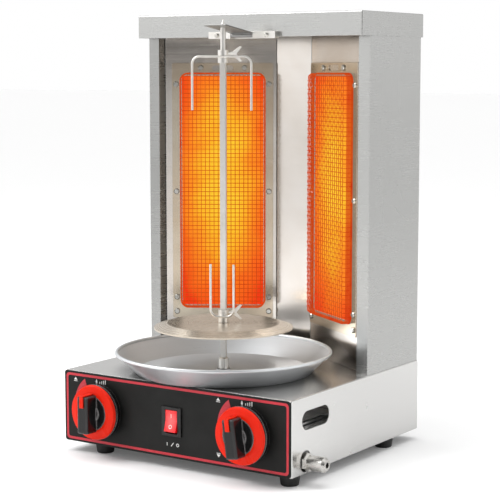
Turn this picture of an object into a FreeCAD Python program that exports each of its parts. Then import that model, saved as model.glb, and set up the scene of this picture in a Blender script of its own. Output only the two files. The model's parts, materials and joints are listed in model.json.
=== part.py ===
import FreeCAD
import Part
import math
import os
import Sketcher
from FreeCAD import Placement, Rotation, Vector

# Gas vertical rotisserie oven: a box base with two gas knobs and a rocker switch, a three-sided
# cabinet with two infrared burners, and a motor-driven upright skewer over a drip pan.
# Frame: X to the right, front face towards -Y, Z up, origin on the table under the base's centre.

os.makedirs("parts", exist_ok=True)
doc = FreeCAD.newDocument("RotisserieOven")

# ---------------------------------------------------------------- driving sizes, millimetres
sizes = {
    # base box
    "baseWidth": 300, "baseDepth": 270, "baseHeight": 80, "sheetWall": 1.0, "bendRadius": 2.0,
    "fitGap": 0.3, "panelWall": 1.2, "panelCorner": 3, "backFlange": 12, "bottomFlange": 8,
    "louvrePitch": 22, "louvreRadius": 2.5, "louvreTall": 34, "backScrewInset": 14,
    "floorSlotPitch": 26, "floorSlotWidth": 6, "floorSlotStart": 25, "floorSlotLength": 60,
    # feet
    "footHeight": 12, "footTopRadius": 11, "footBaseRadius": 9.5, "footInsetFront": 19,
    "footInsetBack": 55, "footInsetLeft": 42, "footInsetRight": 13.5, "footScrewRadius": 2,
    "footHeadRadius": 3.6, "footHeadHeight": 2.6, "footRecess": 6, "footBoreRadius": 4.4,
    "footScrewGap": 0.2, "footNut": 7, "footNutTall": 3,
    # cabinet and cap
    "cabinetDepth": 114, "cabinetHeight": 368, "cabinetInset": 1.3, "flangeWidth": 14,
    "returnDepth": 14, "footingFlange": 10, "wallScrewInset": 30, "wallSlotPitch": 24,
    "wallSlotRadius": 3, "wallSlotTall": 46, "wallSlotLow": 55, "wallSlotHigh": 45,
    "capHeight": 26, "capOverhang": 19,
    "capBackOverhang": 3.5, "capLip": 12,
    # heat liner: a centre panel and two facets that face the spit
    "linerWall": 0.8, "centrePanelWidth": 48, "linerBackGap": 31.5, "facetAngle": 33,
    "linerFlange": 8, "linerTopGap": 4, "panelJoint": 0.4,
    # infrared burners, set on the facets
    "burnerWidth": 119, "burnerTall": 302, "burnerLift": 38, "burnerShift": 1.7, "plateWall": 1.0,
    "plateStandOff": 3, "flangeWall": 1.8, "plenumWidth": 102, "plenumTall": 277,
    "plenumDepth": 25, "plenumWall": 1.0, "tileDepth": 13, "tileGap": 0.5,
    "tileCount": 3, "tileLap": 2, "meshWidth": 100, "meshTall": 277, "meshLift": 13,
    "meshStandOff": 11, "meshCorner": 9, "meshWire": 0.8, "meshPitch": 10, "meshRim": 1.6,
    "mixerRadius": 10, "mixerBore": 8.5, "mixerDrop": 22, "slotLength": 25, "slotRadius": 3,
    "screwRadius": 1.5, "screwHeadRadius": 3.4, "screwHeadHeight": 2.2, "screwReach": 5,
    "screwHoleGap": 0.2, "screwSideInset": 5, "screwEndInset": 8, "screwStep": 17,
    "slotDrop": 6, "slotScrewSpan": 51.2, "plateCorner": 2,
    # gas train
    "knobSpacing": 194, "knobHeight": 40, "valveSize": 24, "valveLength": 36, "stemRadius": 4,
    "stemFit": 0.06, "plungerRadius": 3, "plungerLength": 8, "pipeRadius": 5, "pipeBore": 4,
    "supplyRadius": 3, "supplyBore": 2.2, "supplyReach": 23, "supplyRise": 5, "supplyRun": 60,
    "supplyBend": 8, "supplySump": 29, "outletLength": 4, "outletRadius": 5, "jetRadius": 5,
    "jetTip": 2, "jetLength": 14, "jetEntry": 4, "valveBore": 30,
    "inletDrop": 12, "inletSetback": 28, "inletHex": 17, "inletBarrel": 8, "inletReach": 26,
    "inletBore": 3, "inletHoleRadius": 10.2, "inletHoleTall": 22.5, "inletStart": 9,
    "inletHoleLift": 1.5, "inletHexReach": 6, "inletNeck": 3, "inletNeckStep": 1.2,
    "inletBevel": 3, "inletBevelStep": 2.5,
    # knobs
    "knobRadius": 30.5, "knobInner": 19.5, "skirtDepth": 8, "ringDepth": 5.5, "knobPush": 3,
    "knobGap": 1, "knobSeat": 0.2, "gripWidth": 14, "gripLength": 41, "gripReach": 16,
    "gripRound": 2, "stemReach": 20, "stemHole": 5,
    "pointerWidth": 5, "pointerDrop": 12, "pointerProud": 1.2, "rightKnobTilt": 8,
    # rocker switch
    "bezelWidth": 25, "bezelTall": 31, "bezelDepth": 2, "switchWidth": 21, "switchTall": 27,
    "switchDepth": 18, "rockerWidth": 15, "rockerTall": 23, "rockerTilt": 8, "rockerFace": 5,
    "rockerSide": 0.4, "rockerWell": 11,
    # side vent
    "ventSetback": 21, "ventLength": 53, "ventDrop": 15, "ventTall": 20,
    # spit drive
    "spitSetback": 95, "socketRadius": 5.5, "socketHeight": 15, "socketGap": 0.4, "shaftRadius": 4,
    "shaftFit": 0.05, "socketDepth": 10, "motorWidth": 60, "motorTall": 34, "motorBossRadius": 12,
    "motorBossTall": 4, "bracketWall": 2, "bracketDrop": 9, "bracketSpan": 92,
    "bracketFlange": 12, "bracketDepth": 56,
    # skewer, plate and forks
    "barSide": 6, "barGap": 0.15, "barTop": 445, "spitTurn": 21.5, "tipRadius": 2.9,
    "tipTop": 473, "tipPoint": 5, "plateRadius": 77, "plateFlatRadius": 62, "plateTop": 146,
    "plateLip": 4.5, "plateSheet": 1.5, "hubRadius": 8, "hubTall": 8, "collarRadius": 5.75,
    "collarTall": 14, "wireRadius": 1.3, "lowerSpan": 26, "upperSpan": 66, "forkCorner": 8,
    "prongLength": 58, "wingRadius": 2, "wingFit": 0.06, "wingReach": 7, "wingSpan": 8.5,
    "wingThick": 1.6, "wingLift": 10, "wingTurn": 35, "forkSettle": 0.3,
    # drip pan
    "panRim": 120.5, "panFloor": 98, "panTall": 23.3, "panWall": 1.0, "panRoll": 2,
    "panHole": 7.5, "panHoleLip": 2, "panRest": 0.2,
    # top holder flap
    "barLength": 89, "barTall": 7.5, "barDeep": 7, "barStrip": 1.2, "barDropBelowCap": 2,
    "barScrewSpan": 66, "pinRadius": 1.25, "pinFit": 0.05, "pinSpan": 48,
    "knuckleRadius": 2.6, "flapWidth": 29, "flapReach": 58, "flapWall": 1.2, "flapHole": 3.9,
    "flapSide": 0.4, "flapTilt": 8.3,
    # cable gland on the back panel
    "glandInset": 60, "glandLift": 30, "glandRadius": 7, "glandReach": 9, "glandBore": 3,
    "glandInside": 8, "glandNut": 5, "glandHexTall": 4, "glandThread": 5,
}

sheet = doc.addObject("Spreadsheet::Sheet", "Sizes")
for row, (alias, number) in enumerate(sizes.items(), start=1):
    sheet.set(f"A{row}", alias)
    sheet.set(f"B{row}", str(number))
    sheet.setAlias(f"B{row}", alias)
doc.recompute()


class Dim:
    """A size that keeps its value together with the sheet expression that gives it."""

    def __init__(self, text, value):
        self.text, self.value = text, value

    def __add__(self, other):
        other = dim(other)
        return Dim(f"({self.text} + {other.text})", self.value + other.value)

    def __sub__(self, other):
        other = dim(other)
        return Dim(f"({self.text} - {other.text})", self.value - other.value)

    def __rsub__(self, other):
        return dim(other) - self

    def __mul__(self, other):
        other = dim(other)
        return Dim(f"({self.text} * {other.text})", self.value * other.value)

    def __truediv__(self, other):
        other = dim(other)
        return Dim(f"({self.text} / {other.text})", self.value / other.value)

    def __neg__(self):
        return Dim(f"(0 - {self.text})", -self.value)

    def __float__(self):
        return self.value

    __radd__ = __add__
    __rmul__ = __mul__


def dim(value):
    """A plain number, or a Dim as it is."""
    return value if isinstance(value, Dim) else Dim(f"({value})", float(value))


def size(alias):
    return Dim(f"Sizes.{alias}", float(sheet.get(alias)))


def cosine(angle):
    return Dim(f"cos({angle.text})", math.cos(math.radians(angle.value)))


def sine(angle):
    return Dim(f"sin({angle.text})", math.sin(math.radians(angle.value)))


def bind(item, prop, value):
    """Ties a property to the sheet."""
    item.setExpression(prop, dim(value).text)


# ---------------------------------------------------------------- levels and places
S = {alias: size(alias) for alias in sizes}
halfWidth = S["baseWidth"] / 2
front = -S["baseDepth"] / 2
back = S["baseDepth"] / 2
wall = S["sheetWall"]
gap = S["fitGap"]
boxBottom = S["footHeight"]
deckTop = S["footHeight"] + S["baseHeight"]
deckUnder = deckTop - wall
housingFront = front + S["panelWall"]
insideHalf = halfWidth - wall
knobX = S["knobSpacing"] / 2
knobZ = boxBottom + S["knobHeight"]
spitY = front + S["spitSetback"]
cabinetFront = back - S["cabinetDepth"]
cabinetHalf = halfWidth - S["cabinetInset"]
capBottom = deckTop + S["cabinetHeight"]
capTop = capBottom + S["capHeight"]
capFront = cabinetFront - S["capOverhang"]
wallTop = capTop - wall - gap
returnX = cabinetHalf - S["flangeWidth"]
linerY = back - S["linerBackGap"]
linerTop = wallTop - S["linerTopGap"]
angle = S["facetAngle"]
centreHalf = S["centrePanelWidth"] / 2
facetLength = (returnX - wall - centreHalf) / cosine(angle)
burnerBottom = deckTop + S["burnerLift"]
burnerTop = burnerBottom + S["burnerTall"]
meshBottom = burnerBottom + S["meshLift"]
inletY = front + S["inletSetback"]
inletZ = boxBottom + S["inletDrop"]
collarLow = S["plateTop"] + S["forkSettle"]
collarHigh = S["barTop"] - S["collarTall"]
hingeY = capFront - S["barStrip"] - S["flapSide"] - S["knuckleRadius"]
barBottom = capBottom - S["barDropBelowCap"]
hingeZ = barBottom + S["barTall"] / 2

subParts = []


def keep(name, item):
    """Registers a finished sub-part: its Label is its node's name."""
    item.Label = name
    subParts.append(item)
    return item


def place(item, x=0, y=0, z=0, turn=None, axis=Vector(0, 0, 1)):
    """Sets where a sub-part stands, and its turn about an axis in degrees."""
    if turn is not None:
        item.Placement = Placement(Vector(), Rotation(axis, dim(turn).value))
        bind(item, "Placement.Rotation.Angle", turn)
    for letter, value in zip("xyz", (x, y, z)):
        bind(item, f"Placement.Base.{letter}", value)
    return item


# ---------------------------------------------------------------- solid helpers
def block(x, y, z, name="Block"):
    """A box between two limits on each axis."""
    item = doc.addObject("Part::Box", name)
    for prop, letter, (low, high) in (("Length", "x", x), ("Width", "y", y), ("Height", "z", z)):
        bind(item, prop, dim(high) - low)
        bind(item, f"Placement.Base.{letter}", low)
    return item


TURNS = {"z": Rotation(), "x": Rotation(Vector(0, 1, 0), 90), "y": Rotation(Vector(1, 0, 0), -90)}


def rod(radius, start, length, axis="z", name="Rod"):
    """A cylinder from a start point along +X, +Y or +Z."""
    item = doc.addObject("Part::Cylinder", name)
    item.Placement = Placement(Vector(), TURNS[axis])
    bind(item, "Radius", radius)
    bind(item, "Height", length)
    for letter, value in zip("xyz", start):
        bind(item, f"Placement.Base.{letter}", value)
    return item


def cone(lowRadius, highRadius, start, length, axis="z"):
    item = doc.addObject("Part::Cone", "Taper")
    item.Placement = Placement(Vector(), TURNS[axis])
    bind(item, "Radius1", lowRadius)
    bind(item, "Radius2", highRadius)
    bind(item, "Height", length)
    for letter, value in zip("xyz", start):
        bind(item, f"Placement.Base.{letter}", value)
    return item


def hexagon(acrossFlats, start, length, axis="z"):
    item = doc.addObject("Part::Prism", "Hexagon")
    item.Polygon = 6
    item.Placement = Placement(Vector(), TURNS[axis])
    bind(item, "Circumradius", dim(acrossFlats) / math.sqrt(3))
    bind(item, "Height", length)
    for letter, value in zip("xyz", start):
        bind(item, f"Placement.Base.{letter}", value)
    return item


def fuse(items, name="Joined"):
    if len(items) == 1:
        return items[0]
    item = doc.addObject("Part::MultiFuse", name)
    item.Shapes = items
    item.Refine = True
    return item


def cut(base, tools, name="Trimmed"):
    """Base less the tools. The union of the tools is taken first."""
    item = doc.addObject("Part::Cut", name)
    item.Base = base
    item.Tool = fuse(tools, "Tools")
    return item


def group(items, name="Group"):
    """Separate solids that share one node."""
    item = doc.addObject("Part::Compound", name)
    item.Links = items
    return item


def obround(x, radius, depth, z, length, upright=False):
    """A slot tool through a wall in the XZ plane: depth is its (low, high) along Y."""
    low, high = depth
    reach = dim(length) / 2 - radius
    along = (x - reach, x + reach), (z - radius, z + radius)
    ends = ((x - reach, z), (x + reach, z))
    if upright:
        along = (x - radius, x + radius), (z - reach, z + reach)
        ends = ((x, z - reach), (x, z + reach))
    middle = block(along[0], (low, high), along[1])
    return [middle] + [rod(radius, (px, low, pz), dim(high) - low, "y") for px, pz in ends]


# ---------------------------------------------------------------- PartDesign helpers
def newBody(name):
    return doc.addObject("PartDesign::Body", name)


def newSketch(body, role, lift=0):
    """A sketch on one of the body's own origin planes, lifted along that plane's normal."""
    sketch = body.newObject("Sketcher::SketchObject", "Outline")
    origin = [f for f in body.Origin.OriginFeatures if f.Role == role][0]
    sketch.AttachmentSupport = (origin, [""])
    sketch.MapMode = "FlatFace"
    bind(sketch, "AttachmentOffset.Base.z", lift)
    return sketch


def hold(sketch, geometry, point, x, y):
    """Holds one sketch point at (x, y) from the sketch's origin."""
    for kind, value, line in (("DistanceX", dim(x), -2), ("DistanceY", dim(y), -1)):
        if abs(value.value) < 1e-9:
            sketch.addConstraint(Sketcher.Constraint("PointOnObject", geometry, point, line))
            continue
        sketch.addConstraint(Sketcher.Constraint(kind, -1, 1, geometry, point, value.value))
        bind(sketch, f"Constraints[{sketch.ConstraintCount - 1}]", value)


def polygon(sketch, points):
    """A closed outline of straight edges; every corner is held by its own two sizes."""
    first, count = sketch.GeometryCount, len(points)
    spots = [Vector(float(x), float(y), 0) for x, y in points]
    for i in range(count):
        sketch.addGeometry(Part.LineSegment(spots[i], spots[(i + 1) % count]), False)
    for i in range(count):
        follow = first + (i + 1) % count
        sketch.addConstraint(Sketcher.Constraint("Coincident", first + i, 2, follow, 1))
    for i, (x, y) in enumerate(points):
        hold(sketch, first + i, 1, x, y)


def rectangle(x, y):
    return [(x[0], y[0]), (x[1], y[0]), (x[1], y[1]), (x[0], y[1])]


def pad(body, sketch, length, back=False):
    feature = body.newObject("PartDesign::Pad", "Pad")
    feature.Profile = sketch
    feature.Reversed = back
    bind(feature, "Length", length)
    doc.recompute()
    return feature


def pocket(body, sketch, length, back=False):
    """Cuts a sketch into the body and makes sure that something was cut."""
    before = body.Shape.Volume
    feature = body.newObject("PartDesign::Pocket", "Pocket")
    feature.Profile = sketch
    feature.Reversed = back
    bind(feature, "Length", length)
    doc.recompute()
    if body.Shape.Volume > before - 1e-6:
        raise RuntimeError(f"{body.Label}: a pocket cuts nothing")
    return feature


def revolve(body, sketch):
    """A full turn about the sketch's vertical axis."""
    feature = body.newObject("PartDesign::Revolution", "Turned")
    feature.Profile = sketch
    feature.ReferenceAxis = (sketch, ["V_Axis"])
    feature.Angle = 360
    doc.recompute()
    return feature


def roundEdges(body, feature, radius, wanted):
    """Fillets the edges of a feature for which wanted(edge) holds."""
    names = [f"Edge{i}" for i, edge in enumerate(feature.Shape.Edges, start=1) if wanted(edge)]
    fillet = body.newObject("PartDesign::Fillet", "Fillet")
    fillet.Base = (feature, names)
    bind(fillet, "Radius", radius)
    doc.recompute()
    return fillet


def runs(edge, axis):
    """Whether a straight edge runs along X, Y or Z (0, 1 or 2)."""
    if edge.Curve.TypeId != "Part::GeomLine":
        return False
    return abs(abs(edge.Curve.Direction[axis]) - 1) < 1e-6


def turned(name, points):
    """A body of revolution about its own Z axis from an (r, z) outline."""
    body = newBody(name)
    sketch = newSketch(body, "XZ_Plane")
    polygon(sketch, points)
    revolve(body, sketch)
    return body


def screw(head, headTall, shank, reach):
    """A pan-head screw along Z: the head stands on z = 0 and the shank goes down."""
    chamfer = dim(head) * 0.3
    return turned("Screw", [
        (0, -dim(reach)), (shank, -dim(reach)), (shank, 0), (head, 0),
        (head, dim(headTall) - chamfer), (dim(head) - chamfer, headTall), (0, headTall)])


def copies(name, pattern, placements):
    """Separate solids in one node: the pattern's shape at each placement."""
    solids = []
    for placement in placements:
        solid = pattern.Shape.copy()
        solid.Placement = placement
        solids.append(solid)
    return feature(name, Part.makeCompound(solids))


# ---------------------------------------------------------------- numeric helpers for swept pieces
def tube(points, radius, bore, bend):
    """A round tube along straight runs joined by tangent arcs of one bend radius."""
    spots = [Vector(*[float(c) for c in p]) for p in points]
    edges, last = [], spots[0]
    for before, corner, after in zip(spots, spots[1:], spots[2:]):
        inward, outward = (before - corner).normalize(), (after - corner).normalize()
        half = inward.getAngle(outward) / 2
        reach = float(bend) / math.tan(half)
        start, end = corner + inward * reach, corner + outward * reach
        centre = corner + (inward + outward).normalize() * (float(bend) / math.sin(half))
        middle = centre + (corner - centre).normalize() * float(bend)
        edges += [Part.LineSegment(last, start).toShape(), Part.Arc(start, middle, end).toShape()]
        last = end
    edges.append(Part.LineSegment(last, spots[-1]).toShape())
    path = Part.Wire(edges)

    def sweep(r):
        profile = Part.Wire([Part.Circle(spots[0], spots[1] - spots[0], float(r)).toShape()])
        return path.makePipeShell([profile], True, False)

    solid = sweep(radius)
    return solid.cut(sweep(bore)) if bore else solid


def roundedWire(middle, width, height, corner):
    """A rounded rectangle about a middle point, parallel to the XZ plane."""
    w, h, r = float(width) / 2, float(height) / 2, float(corner)
    edges = []
    for sx, sz, start in ((1, 1, 0), (-1, 1, 90), (-1, -1, 180), (1, -1, 270)):
        centre = middle + Vector(sx * (w - r), 0, sz * (h - r))
        spots = []
        for degrees in (start, start + 45, start + 90):
            turn = math.radians(degrees)
            spots.append(centre + Vector(r * math.cos(turn), 0, r * math.sin(turn)))
        edges.append(Part.Arc(*spots).toShape())
    straight = []
    for arc, following in zip(edges, edges[1:] + edges[:1]):
        straight.append(Part.LineSegment(arc.valueAt(arc.LastParameter),
                                         following.valueAt(following.FirstParameter)).toShape())
    return Part.Wire(Part.__sortEdges__(edges + straight))


def feature(name, shape):
    item = doc.addObject("Part::Feature", name)
    item.Shape = shape
    return item


# ---------------------------------------------------------------- base box
def footSpots():
    """Feet in reading order: front left, front right, back left, back right."""
    left, right = S["footInsetLeft"] - halfWidth, halfWidth - S["footInsetRight"]
    near, far = front + S["footInsetFront"], back - S["footInsetBack"]
    return [("front_left", left, near), ("front_right", right, near),
            ("back_left", left, far), ("back_right", right, far)]


def facetPoint(side, x, y):
    """A point of a facet's own frame (x along it, y behind it) in the model's frame."""
    half = facetLength / 2
    centreX = (centreHalf + half * cosine(angle)) * side
    centreY = linerY - half * sine(angle)
    return (centreX + dim(x) * cosine(angle) + dim(y) * sine(angle) * side,
            centreY - dim(x) * sine(angle) * side + dim(y) * cosine(angle))


def onFacet(item, side):
    x, y = facetPoint(side, 0, 0)
    return place(item, x, y, 0, turn=angle * -side)


burnerX = {side: S["burnerShift"] * -side for side in (-1, 1)}
mixerY = S["plenumDepth"] / 2
mixerLow = deckUnder - S["mixerDrop"]
backScrewX = insideHalf - S["backFlange"] / 2
panelScrewSpots = [(side * backScrewX, z) for side in (-1, 1)
                   for z in (boxBottom + S["backScrewInset"], deckUnder - S["backScrewInset"])]
wallScrewX = cabinetHalf - wall - S["backFlange"] / 2
wallScrewSpots = [(side * wallScrewX, z) for side in (-1, 1)
                  for z in (deckTop + S["wallScrewInset"], (deckTop + capBottom) / 2,
                            capBottom - S["wallScrewInset"])]
screwHole = S["screwRadius"] + S["screwHoleGap"]
footHole = S["footScrewRadius"] + S["footScrewGap"]


def makeHousing():
    body = newBody("HousingShell")
    outline = newSketch(body, "XY_Plane", boxBottom)
    polygon(outline, rectangle((-halfWidth, halfWidth), (housingFront, back)))
    solid = pad(body, outline, S["baseHeight"])
    backY, topZ = float(back), float(deckTop)

    def folded(edge):
        spot = edge.CenterOfMass
        return (runs(edge, 2) and spot.y < 0) or (spot.z > topZ - 0.01 and spot.y < backY - 0.01)

    roundEdges(body, solid, S["bendRadius"], folded)
    inside = newSketch(body, "XY_Plane", boxBottom)
    polygon(inside, rectangle((-insideHalf, insideHalf), (housingFront + wall, back)))
    pocket(body, inside, S["baseHeight"] - wall, back=True)
    flanges = []
    for side in (-1, 1):
        edges = sorted((insideHalf * side, (insideHalf - S["backFlange"]) * side), key=float)
        flanges.append(block(edges, (back - wall * 2, back - wall), (boxBottom, deckUnder)))
    through = (housingFront - 1, housingFront + wall + 1)
    reach = through[1] - through[0]
    tools = [rod(S["stemHole"], (side * knobX, through[0], knobZ), reach, "y")
             for side in (-1, 1)]
    tools.append(block(*switchCutout(through)))
    tools.append(rod(S["socketRadius"] + S["socketGap"], (0, spitY, deckUnder - 1), wall + 2))
    for side in (-1, 1):
        x, y = facetPoint(side, burnerX[side], mixerY)
        tools.append(rod(S["mixerRadius"] + 1, (x, y, deckUnder - 1), wall + 2))
        tools += sideSlot(side, ventY(), ventZ(), S["ventTall"] / 2)
    tools += sideSlot(1, (inletY, inletY), inletHoleZ(), S["inletHoleRadius"])
    for x, z in panelScrewSpots:
        tools.append(rod(screwHole, (x, back - wall * 2 - 1, z), wall + 2, "y"))
    keep("base_housing", cut(fuse([body] + flanges), tools))


def switchCutout(through):
    half, tall = S["switchWidth"] / 2 + gap, S["switchTall"] / 2 + gap
    return (-half, half), through, (knobZ - tall, knobZ + tall)


def ventY():
    radius = S["ventTall"] / 2
    start = front + S["ventSetback"]
    return start + radius, start + S["ventLength"] - radius


def ventZ():
    middle = deckTop - S["ventDrop"] - S["ventTall"] / 2
    return middle, middle


def inletHoleZ():
    low = boxBottom + S["inletHoleLift"] + S["inletHoleRadius"]
    return low, low + S["inletHoleTall"] - S["inletHoleRadius"] * 2


def sideSlot(side, ys, zs, radius):
    """A slot tool through one side wall, between two end centres along Y or Z."""
    start = halfWidth - wall - 1 if side > 0 else -halfWidth - 1
    ends = {(float(y), float(z)): (y, z) for y in ys for z in zs}
    tools = [rod(radius, (start, y, z), wall + 2, "x") for y, z in ends.values()]
    if float(ys[0]) != float(ys[1]):
        tools.append(block((start, start + wall + 2), ys, (zs[0] - radius, zs[0] + radius)))
    else:
        tools.append(block((start, start + wall + 2), (ys[0] - radius, ys[0] + radius), zs))
    return tools


def makeFrontPanel():
    body = newBody("PanelPlate")
    outline = newSketch(body, "XZ_Plane", -housingFront)
    edge = halfWidth - gap
    polygon(outline, rectangle((-edge, edge), (boxBottom + gap, deckTop - gap)))
    solid = pad(body, outline, S["panelWall"])
    roundEdges(body, solid, S["panelCorner"], lambda e: runs(e, 1))
    through = (front - 1, housingFront + 1)
    tools = [rod(S["stemHole"], (side * knobX, through[0], knobZ), through[1] - through[0], "y")
             for side in (-1, 1)]
    keep("front_panel", cut(body, tools + [block(*switchCutout(through))]))


def makeBackPanel():
    edge = insideHalf - gap
    plate = block((-edge, edge), (back - wall, back), (boxBottom, deckUnder - gap))
    through = (back - wall - 1, back + 1)
    tools = []
    for i in range(-3, 4):
        tools += obround(S["louvrePitch"] * i, S["louvreRadius"], through, knobZ,
                         S["louvreTall"], upright=True)
    for x, z in panelScrewSpots:
        tools.append(rod(screwHole, (x, through[0], z), through[1] - through[0], "y"))
    x, z = glandSpot()
    tools.append(rod(S["glandThread"] + gap, (x, through[0], z), wall + 2, "y"))
    keep("base_back_panel", cut(plate, tools))


def glandSpot():
    return S["glandInset"] - halfWidth, boxBottom + S["glandLift"]


def makeGland():
    x, z = glandSpot()
    radius, collar, hexTall = S["glandRadius"], S["glandThread"], S["glandHexTall"]
    start = back - wall - S["glandInside"]
    inside = rod(collar, (x, start, z), wall + S["glandInside"], "y")
    nut = hexagon(radius * 1.8, (x, back - wall - S["glandNut"], z), S["glandNut"], "y")
    outer = [hexagon(radius * 1.8, (x, back, z), hexTall, "y"),
             cone(radius - 1, radius - 3, (x, back + hexTall, z), S["glandReach"] - hexTall,
                  "y")]
    bore = rod(S["glandBore"], (x, start - 1, z), back + S["glandReach"] + 1 - start + 1, "y")
    keep("cable_gland", cut(fuse([inside, nut] + outer), [bore]))


def makeBottomPlate():
    edge = insideHalf - gap
    near, far = housingFront + wall + gap, back - wall * 2 - gap
    plate = block((-edge, edge), (near, far), (boxBottom, boxBottom + wall))
    rise = (boxBottom, boxBottom + S["bottomFlange"])
    low = edge - S["backFlange"] - gap
    flanges = [block((-edge, edge), (near, near + wall), rise),
               block((-low, low), (far - wall, far), rise)]
    tools = []
    for _, x, y in footSpots():
        tools.append(rod(footHole, (x, y, boxBottom - 1), wall + 2))
    slotStart, halfSlot = S["floorSlotStart"], S["floorSlotWidth"] / 2
    for i in range(-2, 3):
        x = S["floorSlotPitch"] * i
        tools.append(block((x - halfSlot, x + halfSlot),
                           (slotStart, slotStart + S["floorSlotLength"]),
                           (boxBottom - 1, boxBottom + wall + 1)))
    keep("base_bottom_plate", cut(fuse([plate] + flanges), tools))


def makeFeet():
    bore, hole = S["footBoreRadius"], footHole
    low, top, tall = S["footBaseRadius"], S["footTopRadius"], S["footHeight"]
    for name, x, y in footSpots():
        foot = turned("Foot", [
            (bore, 0), (low - 0.8, 0), (low, 0.8), (top, tall - 1), (top - 0.4, tall),
            (hole, tall), (hole, S["footRecess"]), (bore, S["footRecess"])])
        keep(f"foot_{name}", place(foot, x, y, 0))
    bolt = screw(S["footHeadRadius"], S["footHeadHeight"], S["footScrewRadius"],
                 S["footHeight"] - S["footRecess"] + wall + 5)
    nutTall = S["footNutTall"]
    nut = cut(hexagon(S["footNut"], (0, 0, 0), nutTall),
              [rod(S["footScrewRadius"] + 0.05, (0, 0, -1), nutTall + 2)])
    doc.recompute()
    flipped = Rotation(Vector(1, 0, 0), 180)
    spots = [(float(x), float(y)) for _, x, y in footSpots()]
    bolts = copies("Bolts", bolt, [
        Placement(Vector(x, y, float(S["footRecess"])), flipped) for x, y in spots])
    nuts = copies("Nuts", nut, [
        Placement(Vector(x, y, float(boxBottom + wall)), Rotation()) for x, y in spots])
    keep("foot_screws", group([bolts, nuts]))


# ---------------------------------------------------------------- cabinet
def makeSideWalls():
    rise = (deckTop, wallTop)
    for side, name in ((-1, "left"), (1, "right")):
        def span(inner, outer):
            return sorted((inner * side, outer * side), key=float)

        inside = cabinetHalf - wall
        pieces = [
            block(span(inside, cabinetHalf), (cabinetFront, back), rise),
            block(span(returnX, cabinetHalf), (cabinetFront, cabinetFront + wall), rise),
            block(span(returnX, returnX + wall), (cabinetFront, cabinetFront + S["returnDepth"]),
                  rise),
            block(span(inside - S["backFlange"], inside), (back - wall * 2, back - wall), rise),
            block(span(inside - S["footingFlange"], inside), (cabinetFront, back - wall),
                  (deckTop, deckTop + wall))]
        tools = [rod(screwHole, (x, back - wall * 2 - 1, z), wall * 2 + 2, "y")
                 for x, z in wallScrewSpots if float(x) * side > 0]
        keep(f"side_wall_{name}", cut(fuse(pieces), tools))


def makeBackWall():
    edge = cabinetHalf - wall - gap
    plate = block((-edge, edge), (back - wall, back), (deckTop, wallTop))
    through = (back - wall - 1, back + 1)
    tools = [rod(screwHole, (x, through[0], z), wall + 2, "y") for x, z in wallScrewSpots]
    for z in (deckTop + S["wallSlotLow"], capBottom - S["wallSlotHigh"]):
        for i in range(-4, 5):
            tools += obround(S["wallSlotPitch"] * i, S["wallSlotRadius"], through, z,
                             S["wallSlotTall"], upright=True)
    keep("back_wall", cut(plate, tools))


def makeCap():
    body = newBody("CapShell")
    outline = newSketch(body, "XY_Plane", capBottom)
    far = back + S["capBackOverhang"]
    polygon(outline, rectangle((-halfWidth, halfWidth), (capFront, far)))
    solid = pad(body, outline, S["capHeight"])
    topZ = float(capTop)
    roundEdges(body, solid, S["bendRadius"] * 0.7,
               lambda e: runs(e, 2) or e.CenterOfMass.z > topZ - 0.01)
    inside = newSketch(body, "XY_Plane", capBottom)
    polygon(inside, rectangle((-insideHalf, insideHalf), (capFront + wall, far - wall)))
    pocket(body, inside, S["capHeight"] - wall, back=True)
    lip = block((-insideHalf, insideHalf), (capFront + wall, capFront + wall + S["capLip"]),
                (capBottom, capBottom + wall))
    tools = [rod(screwHole, (side * S["barScrewSpan"] / 2, capFront - 1, hingeZ), wall + 2, "y")
             for side in (-1, 1)]
    keep("top_cap", cut(fuse([body, lip]), tools))


def makeLiner():
    joint, thick = S["panelJoint"], S["linerWall"]
    rise = (deckTop + gap, linerTop)
    half = centreHalf - joint / 2
    centre = [block((-half, half), (linerY, linerY + thick), rise)]
    for side in (-1, 1):
        edges = sorted((half * side, (half - thick) * side), key=float)
        centre.append(block(edges, (linerY, linerY + S["linerFlange"]), rise))
    keep("liner_centre", fuse(centre))
    for side, name in ((-1, "left"), (1, "right")):
        inner = (facetLength / 2 - joint) * -side
        outer = facetLength / 2 * side
        flange = sorted((inner, inner + thick * side), key=float)
        plate = fuse([block(sorted((inner, outer), key=float), (0, thick), rise),
                      block(flange, (0, S["linerFlange"]), rise)])
        x = burnerX[side]
        wide, tall = S["plenumWidth"] / 2 + 1, S["plenumTall"] / 2 + 1
        tools = [block((x - wide, x + wide), (-1, thick + 1), (meshMid - tall, meshMid + tall))]
        for px, pz in burnerScrewSpots(side):
            tools.append(rod(screwHole + 0.5, (px, -1, pz), thick + 2, "y"))
        keep(f"liner_{name}", onFacet(cut(plate, tools), side))


# ---------------------------------------------------------------- burners
meshMid = meshBottom + S["meshTall"] / 2
plateFront = -S["plateStandOff"]
flangeFront = plateFront + S["plateWall"]
screwSideX = S["burnerWidth"] / 2 - S["screwSideInset"]
slotZ = burnerTop - S["slotDrop"]


def burnerScrewSpots(side):
    """Screws round a burner's face plate, in the facet's own frame."""
    middle = burnerX[side]
    spots = [(middle + S["slotScrewSpan"] / 2 * edge, slotZ) for edge in (-1, 1)]
    low, second = S["screwEndInset"], S["screwEndInset"] + S["screwStep"]
    for edge in (-1, 1):
        spots += [(middle + screwSideX * edge, z) for z in
                  (burnerBottom + low, burnerBottom + second,
                   (burnerBottom + burnerTop) / 2, burnerTop - second)]
    return spots


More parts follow.
